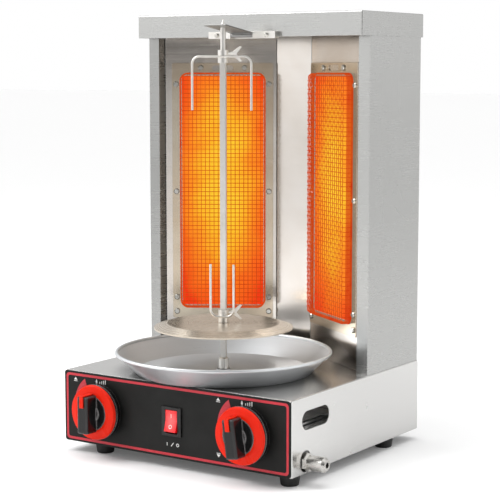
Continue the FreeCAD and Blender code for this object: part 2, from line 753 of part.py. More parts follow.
def makeBurner(side, name):
    middle = burnerX[side]

    def frame(halfX, lowZ, highZ, lowY, highY):
        return block((middle - halfX, middle + halfX), (lowY, highY), (lowZ, highZ))

    def plenumBox(shrink, lowY, highY):
        halfZ = S["plenumTall"] / 2 - shrink
        return frame(S["plenumWidth"] / 2 - shrink, meshMid - halfZ, meshMid + halfZ, lowY, highY)

    halfPlate = S["burnerWidth"] / 2
    holes = [(x, z) for x, z in burnerScrewSpots(side)]
    lap = S["plenumWall"] + S["tileLap"]

    body = newBody("FacePlate")
    outline = newSketch(body, "XZ_Plane", -flangeFront)
    polygon(outline, rectangle((middle - halfPlate, middle + halfPlate),
                               (burnerBottom, burnerTop)))
    solid = pad(body, outline, S["plateWall"])
    roundEdges(body, solid, S["plateCorner"], lambda e: runs(e, 1))
    through = (plateFront - 1, flangeFront + 0.5)
    tools = [plenumBox(lap, *through)]
    tools += obround(middle, S["slotRadius"], through, slotZ, S["slotLength"])
    tools += [rod(screwHole, (x, through[0], z), through[1] - through[0], "y")
              for x, z in holes]
    keep(f"burner_plate_{name}", onFacet(cut(body, tools), side))

    depth = S["plenumDepth"]
    shell = fuse([frame(halfPlate - 1, burnerBottom + 1, burnerTop - 1, flangeFront,
                        flangeFront + S["flangeWall"]), plenumBox(0, flangeFront, depth)])
    bottom = meshMid - S["plenumTall"] / 2
    tools = [plenumBox(S["plenumWall"], flangeFront - 1, depth - S["plenumWall"]),
             rod(S["mixerBore"], (middle, mixerY, bottom - 1), S["plenumWall"] + 2)]
    tools += [rod(screwHole, (x, flangeFront - 1, z), S["flangeWall"] + 2, "y")
              for x, z in holes]
    keep(f"burner_housing_{name}", onFacet(cut(shell, tools), side))

    inset = S["plenumWall"] + S["tileGap"]
    lowZ = bottom + inset
    tile = (S["plenumTall"] - inset * 2) / S["tileCount"]
    tiles = []
    for i in range(int(float(S["tileCount"]))):
        tiles.append(frame(S["plenumWidth"] / 2 - inset, lowZ + tile * i,
                           lowZ + tile * (i + 1) - S["tileGap"], flangeFront,
                           flangeFront + S["tileDepth"]))
    keep(f"burner_tiles_{name}", onFacet(group(tiles), side))

    mesh = makeMesh(float(middle))
    keep(f"burner_mesh_{name}", onFacet(mesh, side))

    pipe = cut(rod(S["mixerRadius"], (middle, mixerY, mixerLow), bottom - mixerLow),
               [rod(S["mixerBore"], (middle, mixerY, mixerLow - 1), bottom - mixerLow + 2)])
    keep(f"burner_mixer_{name}", onFacet(pipe, side))


def makeMesh(x):
    """The wire guard: a rounded rim standing on the face plate with a square grid in front."""
    width, height = float(S["meshWidth"]), float(S["meshTall"])
    wire, pitch, rim = float(S["meshWire"]), float(S["meshPitch"]), float(S["meshRim"])
    corner, depth = float(S["meshCorner"]), float(S["meshStandOff"])
    foot = Vector(x, float(plateFront), float(meshMid))
    face = foot - Vector(0, depth, 0)
    maker = "Part::FaceMakerBullseye"

    outer = roundedWire(foot, width, height, corner)
    inner = roundedWire(foot, width - wire * 2, height - wire * 2, corner - wire)
    rimWall = Part.makeFace([outer, inner], maker).extrude(Vector(0, -depth, 0))

    countX = round((width - rim * 2) / pitch)
    countZ = round((height - rim * 2) / pitch)
    stepX, stepZ = (width - rim * 2) / countX, (height - rim * 2) / countZ
    loops = [roundedWire(face, width, height, corner)]
    for i in range(countX):
        for j in range(countZ):
            if i in (0, countX - 1) and j in (0, countZ - 1):
                continue
            low = face + Vector(stepX * i + rim - width / 2 + wire / 2, 0,
                                stepZ * j + rim - height / 2 + wire / 2)
            wide, tall = Vector(stepX - wire, 0, 0), Vector(0, 0, stepZ - wire)
            loops.append(Part.makePolygon([low, low + wide, low + wide + tall, low + tall, low]))
    grid = Part.makeFace(loops, maker).extrude(Vector(0, wire, 0))
    return feature("Mesh", rimWall.fuse(grid).removeSplitter())


def makeBurnerScrews():
    pattern = screw(S["screwHeadRadius"], S["screwHeadHeight"], S["screwRadius"],
                    S["screwReach"])
    doc.recompute()
    spots = []
    for side in (-1, 1):
        turn = Rotation(Vector(0, 0, 1), -side * float(angle)) * Rotation(Vector(1, 0, 0), 90)
        for x, z in burnerScrewSpots(side):
            px, py = facetPoint(side, x, plateFront)
            spots.append(Placement(Vector(float(px), float(py), float(z)), turn))
    keep("burner_screws", copies("BurnerScrews", pattern, spots))


# ---------------------------------------------------------------- gas train
valveFront = housingFront + wall
valveBack = valveFront + S["valveLength"]
valveHalf = S["valveSize"] / 2
jetBottom = mixerLow + S["jetEntry"] - S["jetLength"]


def makeValve(side, name):
    x = knobX * side
    box = block((x - valveHalf, x + valveHalf), (valveFront, valveBack),
                (knobZ - valveHalf, knobZ + valveHalf))
    tail = rod(valveHalf - 3, (x, valveBack, knobZ), 6, "y")
    reach = S["outletLength"]
    outletX = x + valveHalf if side > 0 else x - valveHalf - reach
    outlet = rod(S["outletRadius"], (outletX, inletY, knobZ + S["supplyRise"]), reach, "x")
    bore = rod(S["stemRadius"] + S["stemFit"], (x, valveFront - 1, knobZ), S["valveBore"] + 1,
               "y")
    keep(f"gas_valve_{name}", cut(fuse([box, tail, outlet]), [bore]))


def makeSupply(side, name):
    """The aluminium tube from a valve's outlet round the inside of the box to its jet."""
    mixerX, mixerPlace = facetPoint(side, burnerX[side], mixerY)
    z = knobZ + S["supplyRise"]
    startX = (knobX + valveHalf + S["outletLength"]) * side
    wideX = (knobX + valveHalf + S["supplyReach"]) * side
    sump = jetBottom - S["supplySump"]
    points = [(startX, inletY, z), (wideX, inletY, z), (wideX, inletY + S["supplyRun"], z),
              (mixerX, mixerPlace, sump), (mixerX, mixerPlace, jetBottom)]
    solid = tube(points, S["supplyRadius"], S["supplyBore"], S["supplyBend"])
    keep(f"supply_tube_{name}", feature("SupplyTube", solid))


def makeJets():
    tip = S["jetEntry"] + 2
    jets = []
    for side in (-1, 1):
        x, y = facetPoint(side, burnerX[side], mixerY)
        base = S["jetLength"] - tip
        solid = fuse([rod(S["jetRadius"], (x, y, jetBottom), base),
                      cone(S["jetRadius"] - 1, S["jetTip"], (x, y, jetBottom + base), tip)])
        jets.append(cut(solid, [rod(1, (x, y, jetBottom - 1), S["jetLength"] + 2)]))
    keep("gas_jets", group(jets))


def makeManifold():
    radius, bore = S["pipeRadius"], S["pipeBore"]
    start, end = -knobX - radius, insideHalf - S["inletStart"]
    rise = knobZ - valveHalf - inletZ
    outer = [rod(radius, (start, inletY, inletZ), end - start, "x")]
    inner = [rod(bore, (start + 1, inletY, inletZ), end - start, "x")]
    for side in (-1, 1):
        outer.append(rod(radius, (knobX * side, inletY, inletZ), rise))
        inner.append(rod(bore, (knobX * side, inletY, inletZ), rise + 1))
    keep("gas_manifold", cut(fuse(outer), inner))


def makeInlet():
    """The gas inlet: a hexagon in the side hole and a stepped, chamfered barrel outside."""
    start = insideHalf - S["inletStart"]
    end = halfWidth + S["inletReach"]
    hexEnd = halfWidth + S["inletHexReach"]
    barrel, neck, bevel = S["inletBarrel"], S["inletNeck"], S["inletBevel"]
    pieces = [hexagon(S["inletHex"], (start, inletY, inletZ), hexEnd - start, "x"),
              rod(barrel - S["inletNeckStep"], (hexEnd, inletY, inletZ), neck, "x"),
              rod(barrel, (hexEnd + neck, inletY, inletZ), end - bevel - hexEnd - neck, "x"),
              cone(barrel, barrel - S["inletBevelStep"], (end - bevel, inletY, inletZ), bevel,
                   "x")]
    bore = rod(S["inletBore"], (start - 1, inletY, inletZ), end - start + 2, "x")
    keep("gas_inlet_fitting", cut(fuse(pieces), [bore]))


# ---------------------------------------------------------------- knobs
toFront = Vector(1, 0, 0)
knobBack = S["knobPush"] + S["knobGap"]
ringBack = knobBack + S["skirtDepth"]
ringFront = ringBack + S["ringDepth"]
gripFront = ringFront + S["gripReach"]


def onKnob(item, side):
    """A knob piece's own frame: x right, y up, z out of the panel."""
    return place(item, knobX * side, front, knobZ, turn=90, axis=toFront)


def makeKnob(side, name):
    tilt = S["rightKnobTilt"] if side > 0 else dim(0)
    radius, inner = S["knobRadius"], S["knobInner"]
    skirt = turned("Skirt", [
        (0, knobBack), (radius - 1, knobBack), (radius, knobBack + 1), (radius, ringBack - 1.5),
        (radius - 1.5, ringBack), (inner - gap, ringBack),
        (inner - gap, ringFront), (0, ringFront)])
    body = newBody("Grip")
    outline = newSketch(body, "XY_Plane", ringFront)
    half, tall = S["gripWidth"] / 2, S["gripLength"] / 2
    low = S["knobSeat"]
    polygon(outline, rectangle((-half, half), (-tall, tall)))
    solid = pad(body, outline, S["gripReach"])
    rounded = S["gripRound"]
    bottomZ = float(ringFront)
    roundEdges(body, solid, rounded, lambda e: e.CenterOfMass.z > bottomZ + 0.01)
    bore = rod(S["stemRadius"] + S["stemFit"], (0, 0, knobBack - 1),
               S["stemReach"] + S["knobSeat"] - knobBack + 1)
    grip = place(body, 0, 0, low, turn=tilt)
    boss = rod(inner / 2, (0, 0, ringBack), ringFront - ringBack + 1)
    keep(f"knob_{name}", onKnob(cut(fuse([skirt, grip, boss]), [bore]), side))

    ring = turned("Ring", [
        (inner, ringBack + 0.1), (radius - 1.5, ringBack + 0.1), (radius, ringBack + 1.2),
        (radius - 1.2, ringFront - 1.4), (inner + 3, ringFront), (inner, ringFront)])
    wide, proud, drop = S["pointerWidth"] / 2, S["pointerProud"], S["pointerDrop"]
    top = tall + 0.05
    face = gripFront + low + 0.05
    arm = block((-wide, wide), (top, top + proud), (ringFront - 1, face + proud))
    arrow = block((-wide, wide), (top - drop, top + proud), (face, face + proud))
    pointer = place(fuse([arm, arrow]), 0, 0, 0, turn=tilt)
    keep(f"knob_ring_{name}", onKnob(fuse([ring, pointer]), side))

    stemStart = -S["stemReach"]
    stem = rod(S["stemRadius"], (0, 0, stemStart), S["stemReach"] * 2)
    keep(f"valve_stem_{name}", onKnob(group([stem]), side))
    plunger = rod(S["plungerRadius"], (0, 0, stemStart - 0.2 - S["plungerLength"]),
                  S["plungerLength"])
    keep(f"valve_plunger_{name}", onKnob(group([plunger]), side))


# ---------------------------------------------------------------- rocker switch
pivotY = front + S["rockerFace"] - S["bezelDepth"]


def makeSwitch():
    wide, tall = S["bezelWidth"] / 2, S["bezelTall"] / 2
    bezel = block((-wide, wide), (front - S["bezelDepth"], front), (knobZ - tall, knobZ + tall))
    wide, tall = S["switchWidth"] / 2, S["switchTall"] / 2
    case = block((-wide, wide), (front, front + S["switchDepth"]), (knobZ - tall, knobZ + tall))
    wide = S["rockerWidth"] / 2 + S["rockerSide"]
    tall = S["rockerTall"] / 2 + S["rockerSide"] + 1
    mouth = front - S["bezelDepth"] - 1
    well = block((-wide, wide), (mouth, mouth + S["rockerWell"] + 1),
                 (knobZ - tall, knobZ + tall))
    keep("switch_body", cut(fuse([bezel, case]), [well]))

    body = newBody("Rocker")
    outline = newSketch(body, "YZ_Plane", S["rockerWidth"] / -2)
    half, face = S["rockerTall"] / 2, S["rockerFace"]
    lift = half * sine(S["rockerTilt"])
    polygon(outline, [(-face - lift, half), (-face, 0), (-face - lift, -half),
                      (-face + 4, -half), (2, -half / 2), (2, half / 2), (-face + 4, half)])
    pad(body, outline, S["rockerWidth"])
    rocker = place(body, 0, pivotY, knobZ, turn=-S["rockerTilt"], axis=Vector(1, 0, 0))
    keep("switch_rocker", rocker)


# ---------------------------------------------------------------- spit drive
motorTop = deckUnder - S["bracketDrop"] - S["bracketWall"]
motorHalf = S["motorWidth"] / 2
motorScrewSpots = [(x, y) for x in (motorHalf * -0.8, motorHalf * 0.8)
                   for y in (motorHalf * -0.8, motorHalf * 0.8)]
socketLow = deckTop + S["socketGap"]
socketTop = deckTop + S["socketHeight"]


def makeMotor():
    thick = S["bracketWall"]
    half, deep = S["bracketSpan"] / 2, S["bracketDepth"] / 2
    plateTop = motorTop + thick
    pieces = [block((-half, half), (spitY - deep, spitY + deep), (motorTop, plateTop))]
    for side in (-1, 1):
        leg = sorted((half * side, (half - thick) * side), key=float)
        foot = sorted((half * side, (half + S["bracketFlange"]) * side), key=float)
        pieces.append(block(leg, (spitY - deep, spitY + deep), (motorTop, deckUnder)))
        pieces.append(block(foot, (spitY - deep, spitY + deep), (deckUnder - thick, deckUnder)))
    tools = [rod(S["motorBossRadius"] + 0.4, (0, spitY, motorTop - 1), thick + 2)]
    tools += [rod(screwHole, (x, spitY + y, motorTop - 1), thick + 2)
              for x, y in motorScrewSpots]
    keep("motor_bracket", cut(fuse(pieces), tools))

    body = newBody("MotorCase")
    low = motorTop - S["motorTall"]
    outline = newSketch(body, "XY_Plane", low)
    polygon(outline, rectangle((-motorHalf, motorHalf), (spitY - motorHalf, spitY + motorHalf)))
    solid = pad(body, outline, S["motorTall"])
    roundEdges(body, solid, 6, lambda e: runs(e, 2))
    boss = rod(S["motorBossRadius"], (0, spitY, motorTop), S["motorBossTall"])
    tools = [rod(S["shaftRadius"] + S["shaftFit"], (0, spitY, motorTop - 12),
                 S["motorBossTall"] + 13)]
    tools += [rod(screwHole, (x, spitY + y, motorTop - 8), 9) for x, y in motorScrewSpots]
    keep("gear_motor", cut(fuse([body, boss]), tools))


def makeSocket():
    """The output shaft with the square socket that carries the skewer."""
    radius, shaft = S["socketRadius"], S["shaftRadius"]
    body = turned("Socket", [
        (0, motorTop - 11), (shaft, motorTop - 11), (shaft, socketLow), (radius, socketLow),
        (radius, socketTop - 1.5), (radius - 1.2, socketTop), (0, socketTop)])
    half = S["barSide"] / 2 + S["barGap"]
    square = block((-half, half), (-half, half), (socketTop - S["socketDepth"], socketTop + 1))
    flutes = []
    for i in range(6):
        turn = math.radians(60 * i + 30)
        reach = radius + 0.9
        flutes.append(rod(1.5, (reach * math.cos(turn), reach * math.sin(turn), socketLow + 4),
                          S["socketHeight"]))
    keep("drive_socket", onSpit(cut(body, [square] + flutes)))


def onSpit(item):
    """The skewer's own frame: its axis through the origin, turned with its square bar."""
    return place(item, 0, spitY, 0, turn=S["spitTurn"])


def makeSkewer():
    half = S["barSide"] / 2
    low = socketTop - S["socketDepth"] + S["panRest"]
    tip = S["tipRadius"]
    pieces = [block((-half, half), (-half, half), (low, S["barTop"])),
              rod(tip, (0, 0, S["barTop"]), S["tipTop"] - S["barTop"]),
              cone(tip * 0.62, 0.4, (0, 0, S["tipTop"]), S["tipPoint"])]
    keep("skewer_rod", onSpit(fuse(pieces)))

    top, thick = S["plateTop"], S["plateSheet"]
    lipZ = top - S["plateLip"]
    flat, edge, hub = S["plateFlatRadius"], S["plateRadius"], S["hubRadius"]
    disc = turned("MeatPlate", [
        (0, top), (flat, top), (edge, lipZ), (edge, lipZ - thick), (edge - 0.6, lipZ - thick),
        (flat - 0.4, top - thick), (hub, top - thick), (hub, top - thick - S["hubTall"]),
        (0, top - thick - S["hubTall"])])
    square = half + S["barGap"]
    hole = block((-square, square), (-square, square), (top - 20, top + 1))
    keep("meat_plate", onSpit(cut(disc, [hole])))


def makeFork(name, low, span, up):
    """A collar on the square bar, a bent wire fork welded to its front, and a wing screw."""
    radius, tall, wire = S["collarRadius"], S["collarTall"], S["wireRadius"]
    square = S["barSide"] / 2 + S["barGap"]
    screwZ = low + S["wingLift"]
    collar = rod(radius, (0, 0, low), tall)
    holes = [block((-square, square), (-square, square), (low - 1, low + tall + 1)),
             place(group([rod(S["wingRadius"] + S["wingFit"], (0, 0, 0), radius + 1, "x")]),
                   0, 0, screwZ, turn=S["wingTurn"])]
    middle = float(low + tall / 2)
    y = -float(radius + wire) + 0.35
    half, reach = float(span) / 2, float(S["prongLength"]) * (1 if up else -1)
    points = [(-half, y, middle + reach), (-half, y, middle), (half, y, middle),
              (half, y, middle + reach)]
    bow = feature("ForkWire", tube(points, wire, 0, S["forkCorner"]))
    keep(f"{name}_fork", onSpit(cut(fuse([collar, bow]), holes)))

    reachOut = radius + S["wingReach"]
    start = S["barSide"] / 2 / cosine(S["wingTurn"]) + 0.5
    shank = rod(S["wingRadius"], (start, 0, 0), reachOut - start, "x")
    body = newBody("Wings")
    outline = newSketch(body, "XZ_Plane", S["wingThick"] / -2)
    wide, far = S["wingSpan"], reachOut + 9
    polygon(outline, [(reachOut - 5, -2), (reachOut - 1, -2.6), (far - 2, -wide), (far, 1 - wide),
                      (reachOut + 2.5, 0), (far, wide - 1), (far - 2, wide), (reachOut - 1, 2.6),
                      (reachOut - 5, 2)])
    pad(body, outline, S["wingThick"])
    wing = fuse([shank, body])
    keep(f"{name}_wing_screw", place(wing, 0, spitY, screwZ, turn=S["spitTurn"] + S["wingTurn"]))


# ---------------------------------------------------------------- drip pan
def makePan():
    roll, tall, thick = S["panRoll"], S["panTall"], S["panWall"]
    bead = S["panRim"] - roll
    hole = S["panHole"]
    bowl = turned("PanBowl", [
        (hole, 0), (S["panFloor"], 0), (bead + 0.5, tall - roll), (bead - 0.5, tall - roll),
        (S["panFloor"] - 0.8, thick), (hole + thick, thick), (hole + thick, S["panHoleLip"]),
        (hole, S["panHoleLip"])])
    rim = doc.addObject("Part::Torus", "Rim")
    bind(rim, "Radius1", bead)
    bind(rim, "Radius2", roll)
    place(rim, 0, 0, tall - roll)
    keep("drip_pan", place(fuse([bowl, rim]), 0, spitY, deckTop + S["panRest"]))


# ---------------------------------------------------------------- top holder
def makeHolder():
    half, tall = S["barLength"] / 2, (barBottom, barBottom + S["barTall"])
    notch = S["flapWidth"] / 2 + S["flapSide"]
    bar = block((-half, half), (capFront - S["barDeep"], capFront), tall)
    tools = [block((-notch, notch), (capFront - S["barDeep"] - 1, capFront - S["barStrip"]),
                   (tall[0] - 1, tall[1] + 1)),
             rod(S["pinRadius"] + S["pinFit"], (S["pinSpan"] / -2, hingeY, hingeZ),
                 S["pinSpan"], "x")]
    for side in (-1, 1):
        x = side * S["barScrewSpan"] / 2
        tools.append(rod(screwHole, (x, capFront - S["barDeep"] - 1, hingeZ),
                         S["barDeep"] + 2, "y"))
    keep("holder_bar", cut(bar, tools))
    pin = rod(S["pinRadius"], (S["pinSpan"] / -2, hingeY, hingeZ), S["pinSpan"], "x")
    keep("holder_pin", group([pin]))

    wide, knuckle = S["flapWidth"] / 2, S["knuckleRadius"]
    reach = (S["flapReach"] - (capFront - hingeY)) / cosine(S["flapTilt"])
    plate = block((-wide, wide), (-reach, 0), (knuckle - S["flapWall"], knuckle))
    roll = rod(knuckle, (-wide, 0, 0), S["flapWidth"], "x")
    flap = place(fuse([plate, roll]), 0, hingeY, hingeZ, turn=-S["flapTilt"],
                 axis=Vector(1, 0, 0))
    bores = [rod(S["pinRadius"] + S["pinFit"], (-wide - 1, hingeY, hingeZ),
                 S["flapWidth"] + 2, "x"),
             rod(S["flapHole"], (0, spitY, hingeZ - 5), 30)]
    keep("holder_flap", cut(flap, bores))


def makeMachineScrews():
    """Pan-head screws of one size: holder bar, back panel, back wall and motor."""
    pattern = screw(S["screwHeadRadius"], S["screwHeadHeight"], S["screwRadius"],
                    S["screwReach"])
    longer = screw(S["screwHeadRadius"] * 0.75, S["screwHeadHeight"], S["screwRadius"],
                   S["barDeep"] + wall)
    doc.recompute()
    fromBack = Rotation(Vector(1, 0, 0), -90)
    fromFront = Rotation(Vector(1, 0, 0), 90)
    short = [Placement(Vector(float(x), float(back), float(z)), fromBack)
             for x, z in panelScrewSpots + wallScrewSpots]
    top = float(motorTop + S["bracketWall"])
    short += [Placement(Vector(float(x), float(spitY + y), top), Rotation())
              for x, y in motorScrewSpots]
    frontSpots = [
        Placement(Vector(side * float(S["barScrewSpan"]) / 2, float(capFront - S["barDeep"]),
                         float(hingeZ)), fromFront) for side in (-1, 1)]
    keep("machine_screws", group([copies("ShortScrews", pattern, short),
                                  copies("LongScrews", longer, frontSpots)]))


# ---------------------------------------------------------------- build
makeHousing()
makeFrontPanel()
makeBackPanel()
makeGland()
makeBottomPlate()
makeFeet()
makeSideWalls()
makeBackWall()
makeCap()
makeLiner()
for side, name in ((-1, "left"), (1, "right")):
    makeBurner(side, name)
    makeValve(side, name)
    makeSupply(side, name)
    makeKnob(side, name)
makeBurnerScrews()
makeJets()
makeManifold()
makeInlet()
makeSwitch()
makeMotor()
makeSocket()
makeSkewer()
makeFork("lower", collarLow, S["lowerSpan"], up=True)
makeFork("upper", collarHigh, S["upperSpan"], up=False)
makePan()
makeHolder()
makeMachineScrews()
doc.recompute()

for item in doc.Objects:
    if "Invalid" in item.State or "Error" in item.State:
        raise RuntimeError(f"{item.Label} failed: {item.State}")
for item in subParts:
    if item.Shape.isNull() or not item.Shape.isValid():
        raise RuntimeError(f"{item.Label} has no valid shape")
for item in subParts:
    item.Shape.exportStep(f"parts/{item.Label}.step")
    print(f"{item.Label}: {len(item.Shape.Solids)} solid(s), {item.Shape.Volume / 1000:.2f} cm3")
print(f"{len(subParts)} nodes")
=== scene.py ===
import json
import math
import bpy
import numpy as np
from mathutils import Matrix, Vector


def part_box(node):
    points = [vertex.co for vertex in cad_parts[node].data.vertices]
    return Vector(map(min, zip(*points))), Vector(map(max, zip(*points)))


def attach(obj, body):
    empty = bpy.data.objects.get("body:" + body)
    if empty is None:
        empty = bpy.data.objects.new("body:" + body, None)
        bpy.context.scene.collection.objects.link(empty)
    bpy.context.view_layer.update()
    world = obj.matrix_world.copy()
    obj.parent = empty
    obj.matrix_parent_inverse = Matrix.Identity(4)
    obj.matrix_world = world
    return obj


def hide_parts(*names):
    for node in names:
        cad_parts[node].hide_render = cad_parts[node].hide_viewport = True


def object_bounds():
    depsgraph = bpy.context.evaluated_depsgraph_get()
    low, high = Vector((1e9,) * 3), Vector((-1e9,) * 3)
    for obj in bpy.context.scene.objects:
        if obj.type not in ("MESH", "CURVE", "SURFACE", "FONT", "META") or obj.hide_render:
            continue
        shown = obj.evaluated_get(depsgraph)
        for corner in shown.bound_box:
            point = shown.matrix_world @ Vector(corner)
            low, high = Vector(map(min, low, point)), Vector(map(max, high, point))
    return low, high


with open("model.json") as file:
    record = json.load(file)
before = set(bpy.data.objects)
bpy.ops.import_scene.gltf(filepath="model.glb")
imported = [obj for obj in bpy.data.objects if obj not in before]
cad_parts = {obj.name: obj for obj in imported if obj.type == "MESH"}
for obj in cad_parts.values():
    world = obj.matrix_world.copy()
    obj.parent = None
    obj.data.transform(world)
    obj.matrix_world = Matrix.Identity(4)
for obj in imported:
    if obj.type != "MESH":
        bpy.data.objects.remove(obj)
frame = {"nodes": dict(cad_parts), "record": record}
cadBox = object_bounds()
nodes = frame["nodes"]
scene = bpy.context.scene
mm = 0.001
sides = ((-1, "left"), (1, "right"))
print("frame loaded:", len(nodes), "nodes")

view = {"azimuth": 34.22, "elevation": 6.69, "distance": 1.724, "lens": 109.6, "sensor": 36,
        "nearest": 0.05, "furthest": 60, "aimRight": -0.002, "aimBack": 0.015, "aimUp": 0.2211}
studio = {"floor": 50.0, "skyWhite": 1.0, "lightAim": 0.24,
          "key": {"azimuth": -48, "elevation": 42, "distance": 1.9, "size": 0.9, "power": 15.0},
          "top": {"azimuth": 20, "elevation": 84, "distance": 1.7, "size": 1.6, "power": 10.0}}


def direction(azimuth, elevation):
    # unit vector from the object towards a camera at that azimuth and elevation
    a, e = math.radians(azimuth), math.radians(elevation)
    return Vector((math.sin(a) * math.cos(e), -math.cos(a) * math.cos(e), math.sin(e)))


def makeCamera():
    data = bpy.data.cameras.new("camera")
    data.lens = view["lens"]
    data.sensor_width = view["sensor"]
    data.clip_start, data.clip_end = view["nearest"], view["furthest"]
    camera = bpy.data.objects.new("camera", data)
    scene.collection.objects.link(camera)
    back = direction(view["azimuth"], view["elevation"])
    aim = Vector((view["aimRight"], view["aimBack"], view["aimUp"]))
    camera.location = aim + back * view["distance"]
    camera.rotation_mode = "QUATERNION"
    camera.rotation_quaternion = (-back).to_track_quat("-Z", "Y")
    scene.camera = camera


def areaLight(name):
    # a square soft box, turned to the middle of the oven
    wanted = studio[name]
    data = bpy.data.lights.new(name, "AREA")
    data.shape = "RECTANGLE"
    data.size = data.size_y = wanted["size"]
    data.energy = wanted["power"]
    light = bpy.data.objects.new(name, data)
    scene.collection.objects.link(light)
    away = direction(wanted["azimuth"], wanted["elevation"])
    light.location = Vector((0, 0, studio["lightAim"])) + away * wanted["distance"]
    light.rotation_mode = "QUATERNION"
    light.rotation_quaternion = away.to_track_quat("Z", "Y")
    return light


class Tree:
    # a short hand for adding and wiring nodes in one shader tree
    def __init__(self, tree):
        self.tree = tree

    def add(self, kind, values=None, **settings):
        node = self.tree.nodes.new(kind)
        for key, value in settings.items():
            setattr(node, key, value)
        for key, value in (values or {}).items():
            if isinstance(value, bpy.types.NodeSocket):
                self.tree.links.new(value, node.inputs[key])
            else:
                node.inputs[key].default_value = value
        return node

    def maths(self, operation, *values, clamp=False):
        node = self.add("ShaderNodeMath", dict(enumerate(values)), operation=operation)
        node.use_clamp = clamp
        return node.outputs[0]

    def vector(self, operation, *values):
        node = self.add("ShaderNodeVectorMath", dict(enumerate(values)), operation=operation)
        return node.outputs[1 if operation in ("LENGTH", "DOT_PRODUCT") else 0]

    def mixColour(self, share, first, second):
        node = self.add("ShaderNodeMix", data_type="RGBA")
        for key, value in ((0, share), (6, first), (7, second)):
            if isinstance(value, bpy.types.NodeSocket):
                self.tree.links.new(value, node.inputs[key])
            else:
                node.inputs[key].default_value = value
        return node.outputs[2]

    def spread(self, value, low, high, toLow=0.0, toHigh=1.0):
        node = self.add("ShaderNodeMapRange", {0: value, 1: low, 2: high, 3: toLow, 4: toHigh})
        return node.outputs[0]

    def ramp(self, value, stops, mode="LINEAR"):
        node = self.add("ShaderNodeValToRGB", {0: value})
        bar = node.color_ramp
        bar.interpolation = mode
        while len(bar.elements) < len(stops):
            bar.elements.new(0.5)
        for element, (place, colour) in zip(bar.elements, stops):
            element.position, element.color = place, colour
        return node.outputs[0]

    def noise(self, vector, scale, detail=3.0, rough=0.55):
        node = self.add("ShaderNodeTexNoise", {"Scale": scale, "Detail": detail,
                                               "Roughness": rough})
        self.tree.links.new(vector, node.inputs["Vector"])
        return node.outputs["Fac"]

    def group(self, name, values):
        return self.add("ShaderNodeGroup", values, node_tree=bpy.data.node_groups[name])


def rgb(text):
    # linear colour, with alpha 1, of a screen colour written as six hex digits
    out = []
    for start in (0, 2, 4):
        c = int(text[start:start + 2], 16) / 255
        out.append(c / 12.92 if c <= 0.04045 else ((c + 0.055) / 1.055) ** 2.4)
    return (*out, 1.0)


def grey(tone):
    return (tone, tone, tone, 1)


def newGroup(name, inputs, outputs):
    tree = bpy.data.node_groups.new(name, "ShaderNodeTree")
    for label, kind, value in inputs:
        socket = tree.interface.new_socket(label, in_out="INPUT", socket_type=kind)
        if value is not None:
            socket.default_value = value
    for label, kind in outputs:
        tree.interface.new_socket(label, in_out="OUTPUT", socket_type=kind)
    t = Tree(tree)
    source = t.add("NodeGroupInput")
    sink = t.add("NodeGroupOutput")
    return t, source.outputs, sink.inputs


numberSocket, vectorSocket = "NodeSocketFloat", "NodeSocketVector"


def makeSheetGrain():
    # fine rolled lines, level on upright faces and left to right on flat ones
    t, given, out = newGroup(
        "sheetGrain", [("Fineness", numberSocket, 900.0), ("Length", numberSocket, 14.0)],
        [("Grain", numberSocket)])
    where = t.add("ShaderNodeTexCoord").outputs["Object"]
    facing = t.add("ShaderNodeSeparateXYZ", {0: t.add("ShaderNodeNewGeometry").outputs["Normal"]})
    flat = t.maths("GREATER_THAN", t.maths("ABSOLUTE", facing.outputs[2]), 0.7)
    level = t.add("ShaderNodeCombineXYZ", {0: given["Length"], 1: given["Length"],
                                           2: given["Fineness"]}).outputs[0]
    across = t.add("ShaderNodeCombineXYZ", {0: given["Length"], 1: given["Fineness"],
                                            2: given["Length"]}).outputs[0]
    stretch = t.add("ShaderNodeMix", {0: flat, 4: level, 5: across}, data_type="VECTOR").outputs[1]
    fine = t.noise(t.vector("MULTIPLY", where, stretch), 1.0, 2.0, 0.6)
    coarse = t.noise(t.vector("MULTIPLY", where, t.vector("MULTIPLY", stretch, (0.4, 0.4, 0.22))),
                     1.0, 2.0, 0.5)
    t.tree.links.new(t.maths("ADD", t.maths("MULTIPLY", fine, 0.62),
                             t.maths("MULTIPLY", coarse, 0.38)), out["Grain"])


def makeSpunGrain():
    # rings about an upright axis, as a lathe or a spinning tool leaves them
    t, given, out = newGroup(
        "spunGrain", [("Centre", vectorSocket, (0, 0, 0)), ("Fineness", numberSocket, 1400.0)],
        [("Grain", numberSocket), ("Bands", numberSocket)])
    where = t.add("ShaderNodeTexCoord").outputs["Object"]
    arm = t.vector("SUBTRACT", where, given["Centre"])
    parts = t.add("ShaderNodeSeparateXYZ", {0: arm})
    flatArm = t.add("ShaderNodeCombineXYZ", {0: parts.outputs[0], 1: parts.outputs[1]}).outputs[0]
    reach = t.vector("LENGTH", flatArm)
    rings = t.add("ShaderNodeCombineXYZ", {0: t.maths("MULTIPLY", reach, given["Fineness"]),
                                           1: t.maths("MULTIPLY", parts.outputs[2],
                                                      given["Fineness"])}).outputs[0]
    t.tree.links.new(t.noise(rings, 1.0, 2.0, 0.6), out["Grain"])
    t.tree.links.new(t.noise(t.vector("MULTIPLY", rings, (0.06, 0.06, 0.06)), 1.0, 1.0, 0.5),
                     out["Bands"])


def makeSmudges():
    # broad, soft patches where hands, heat or cleaning have been
    t, given, out = newGroup(
        "smudges", [("Scale", numberSocket, 14.0), ("Low", numberSocket, 0.4),
                    ("High", numberSocket, 0.7)], [("Mask", numberSocket)])
    where = t.add("ShaderNodeTexCoord").outputs["Object"]
    broad = t.noise(where, given["Scale"], 4.0, 0.6)
    t.tree.links.new(t.spread(broad, given["Low"], given["High"]), out["Mask"])


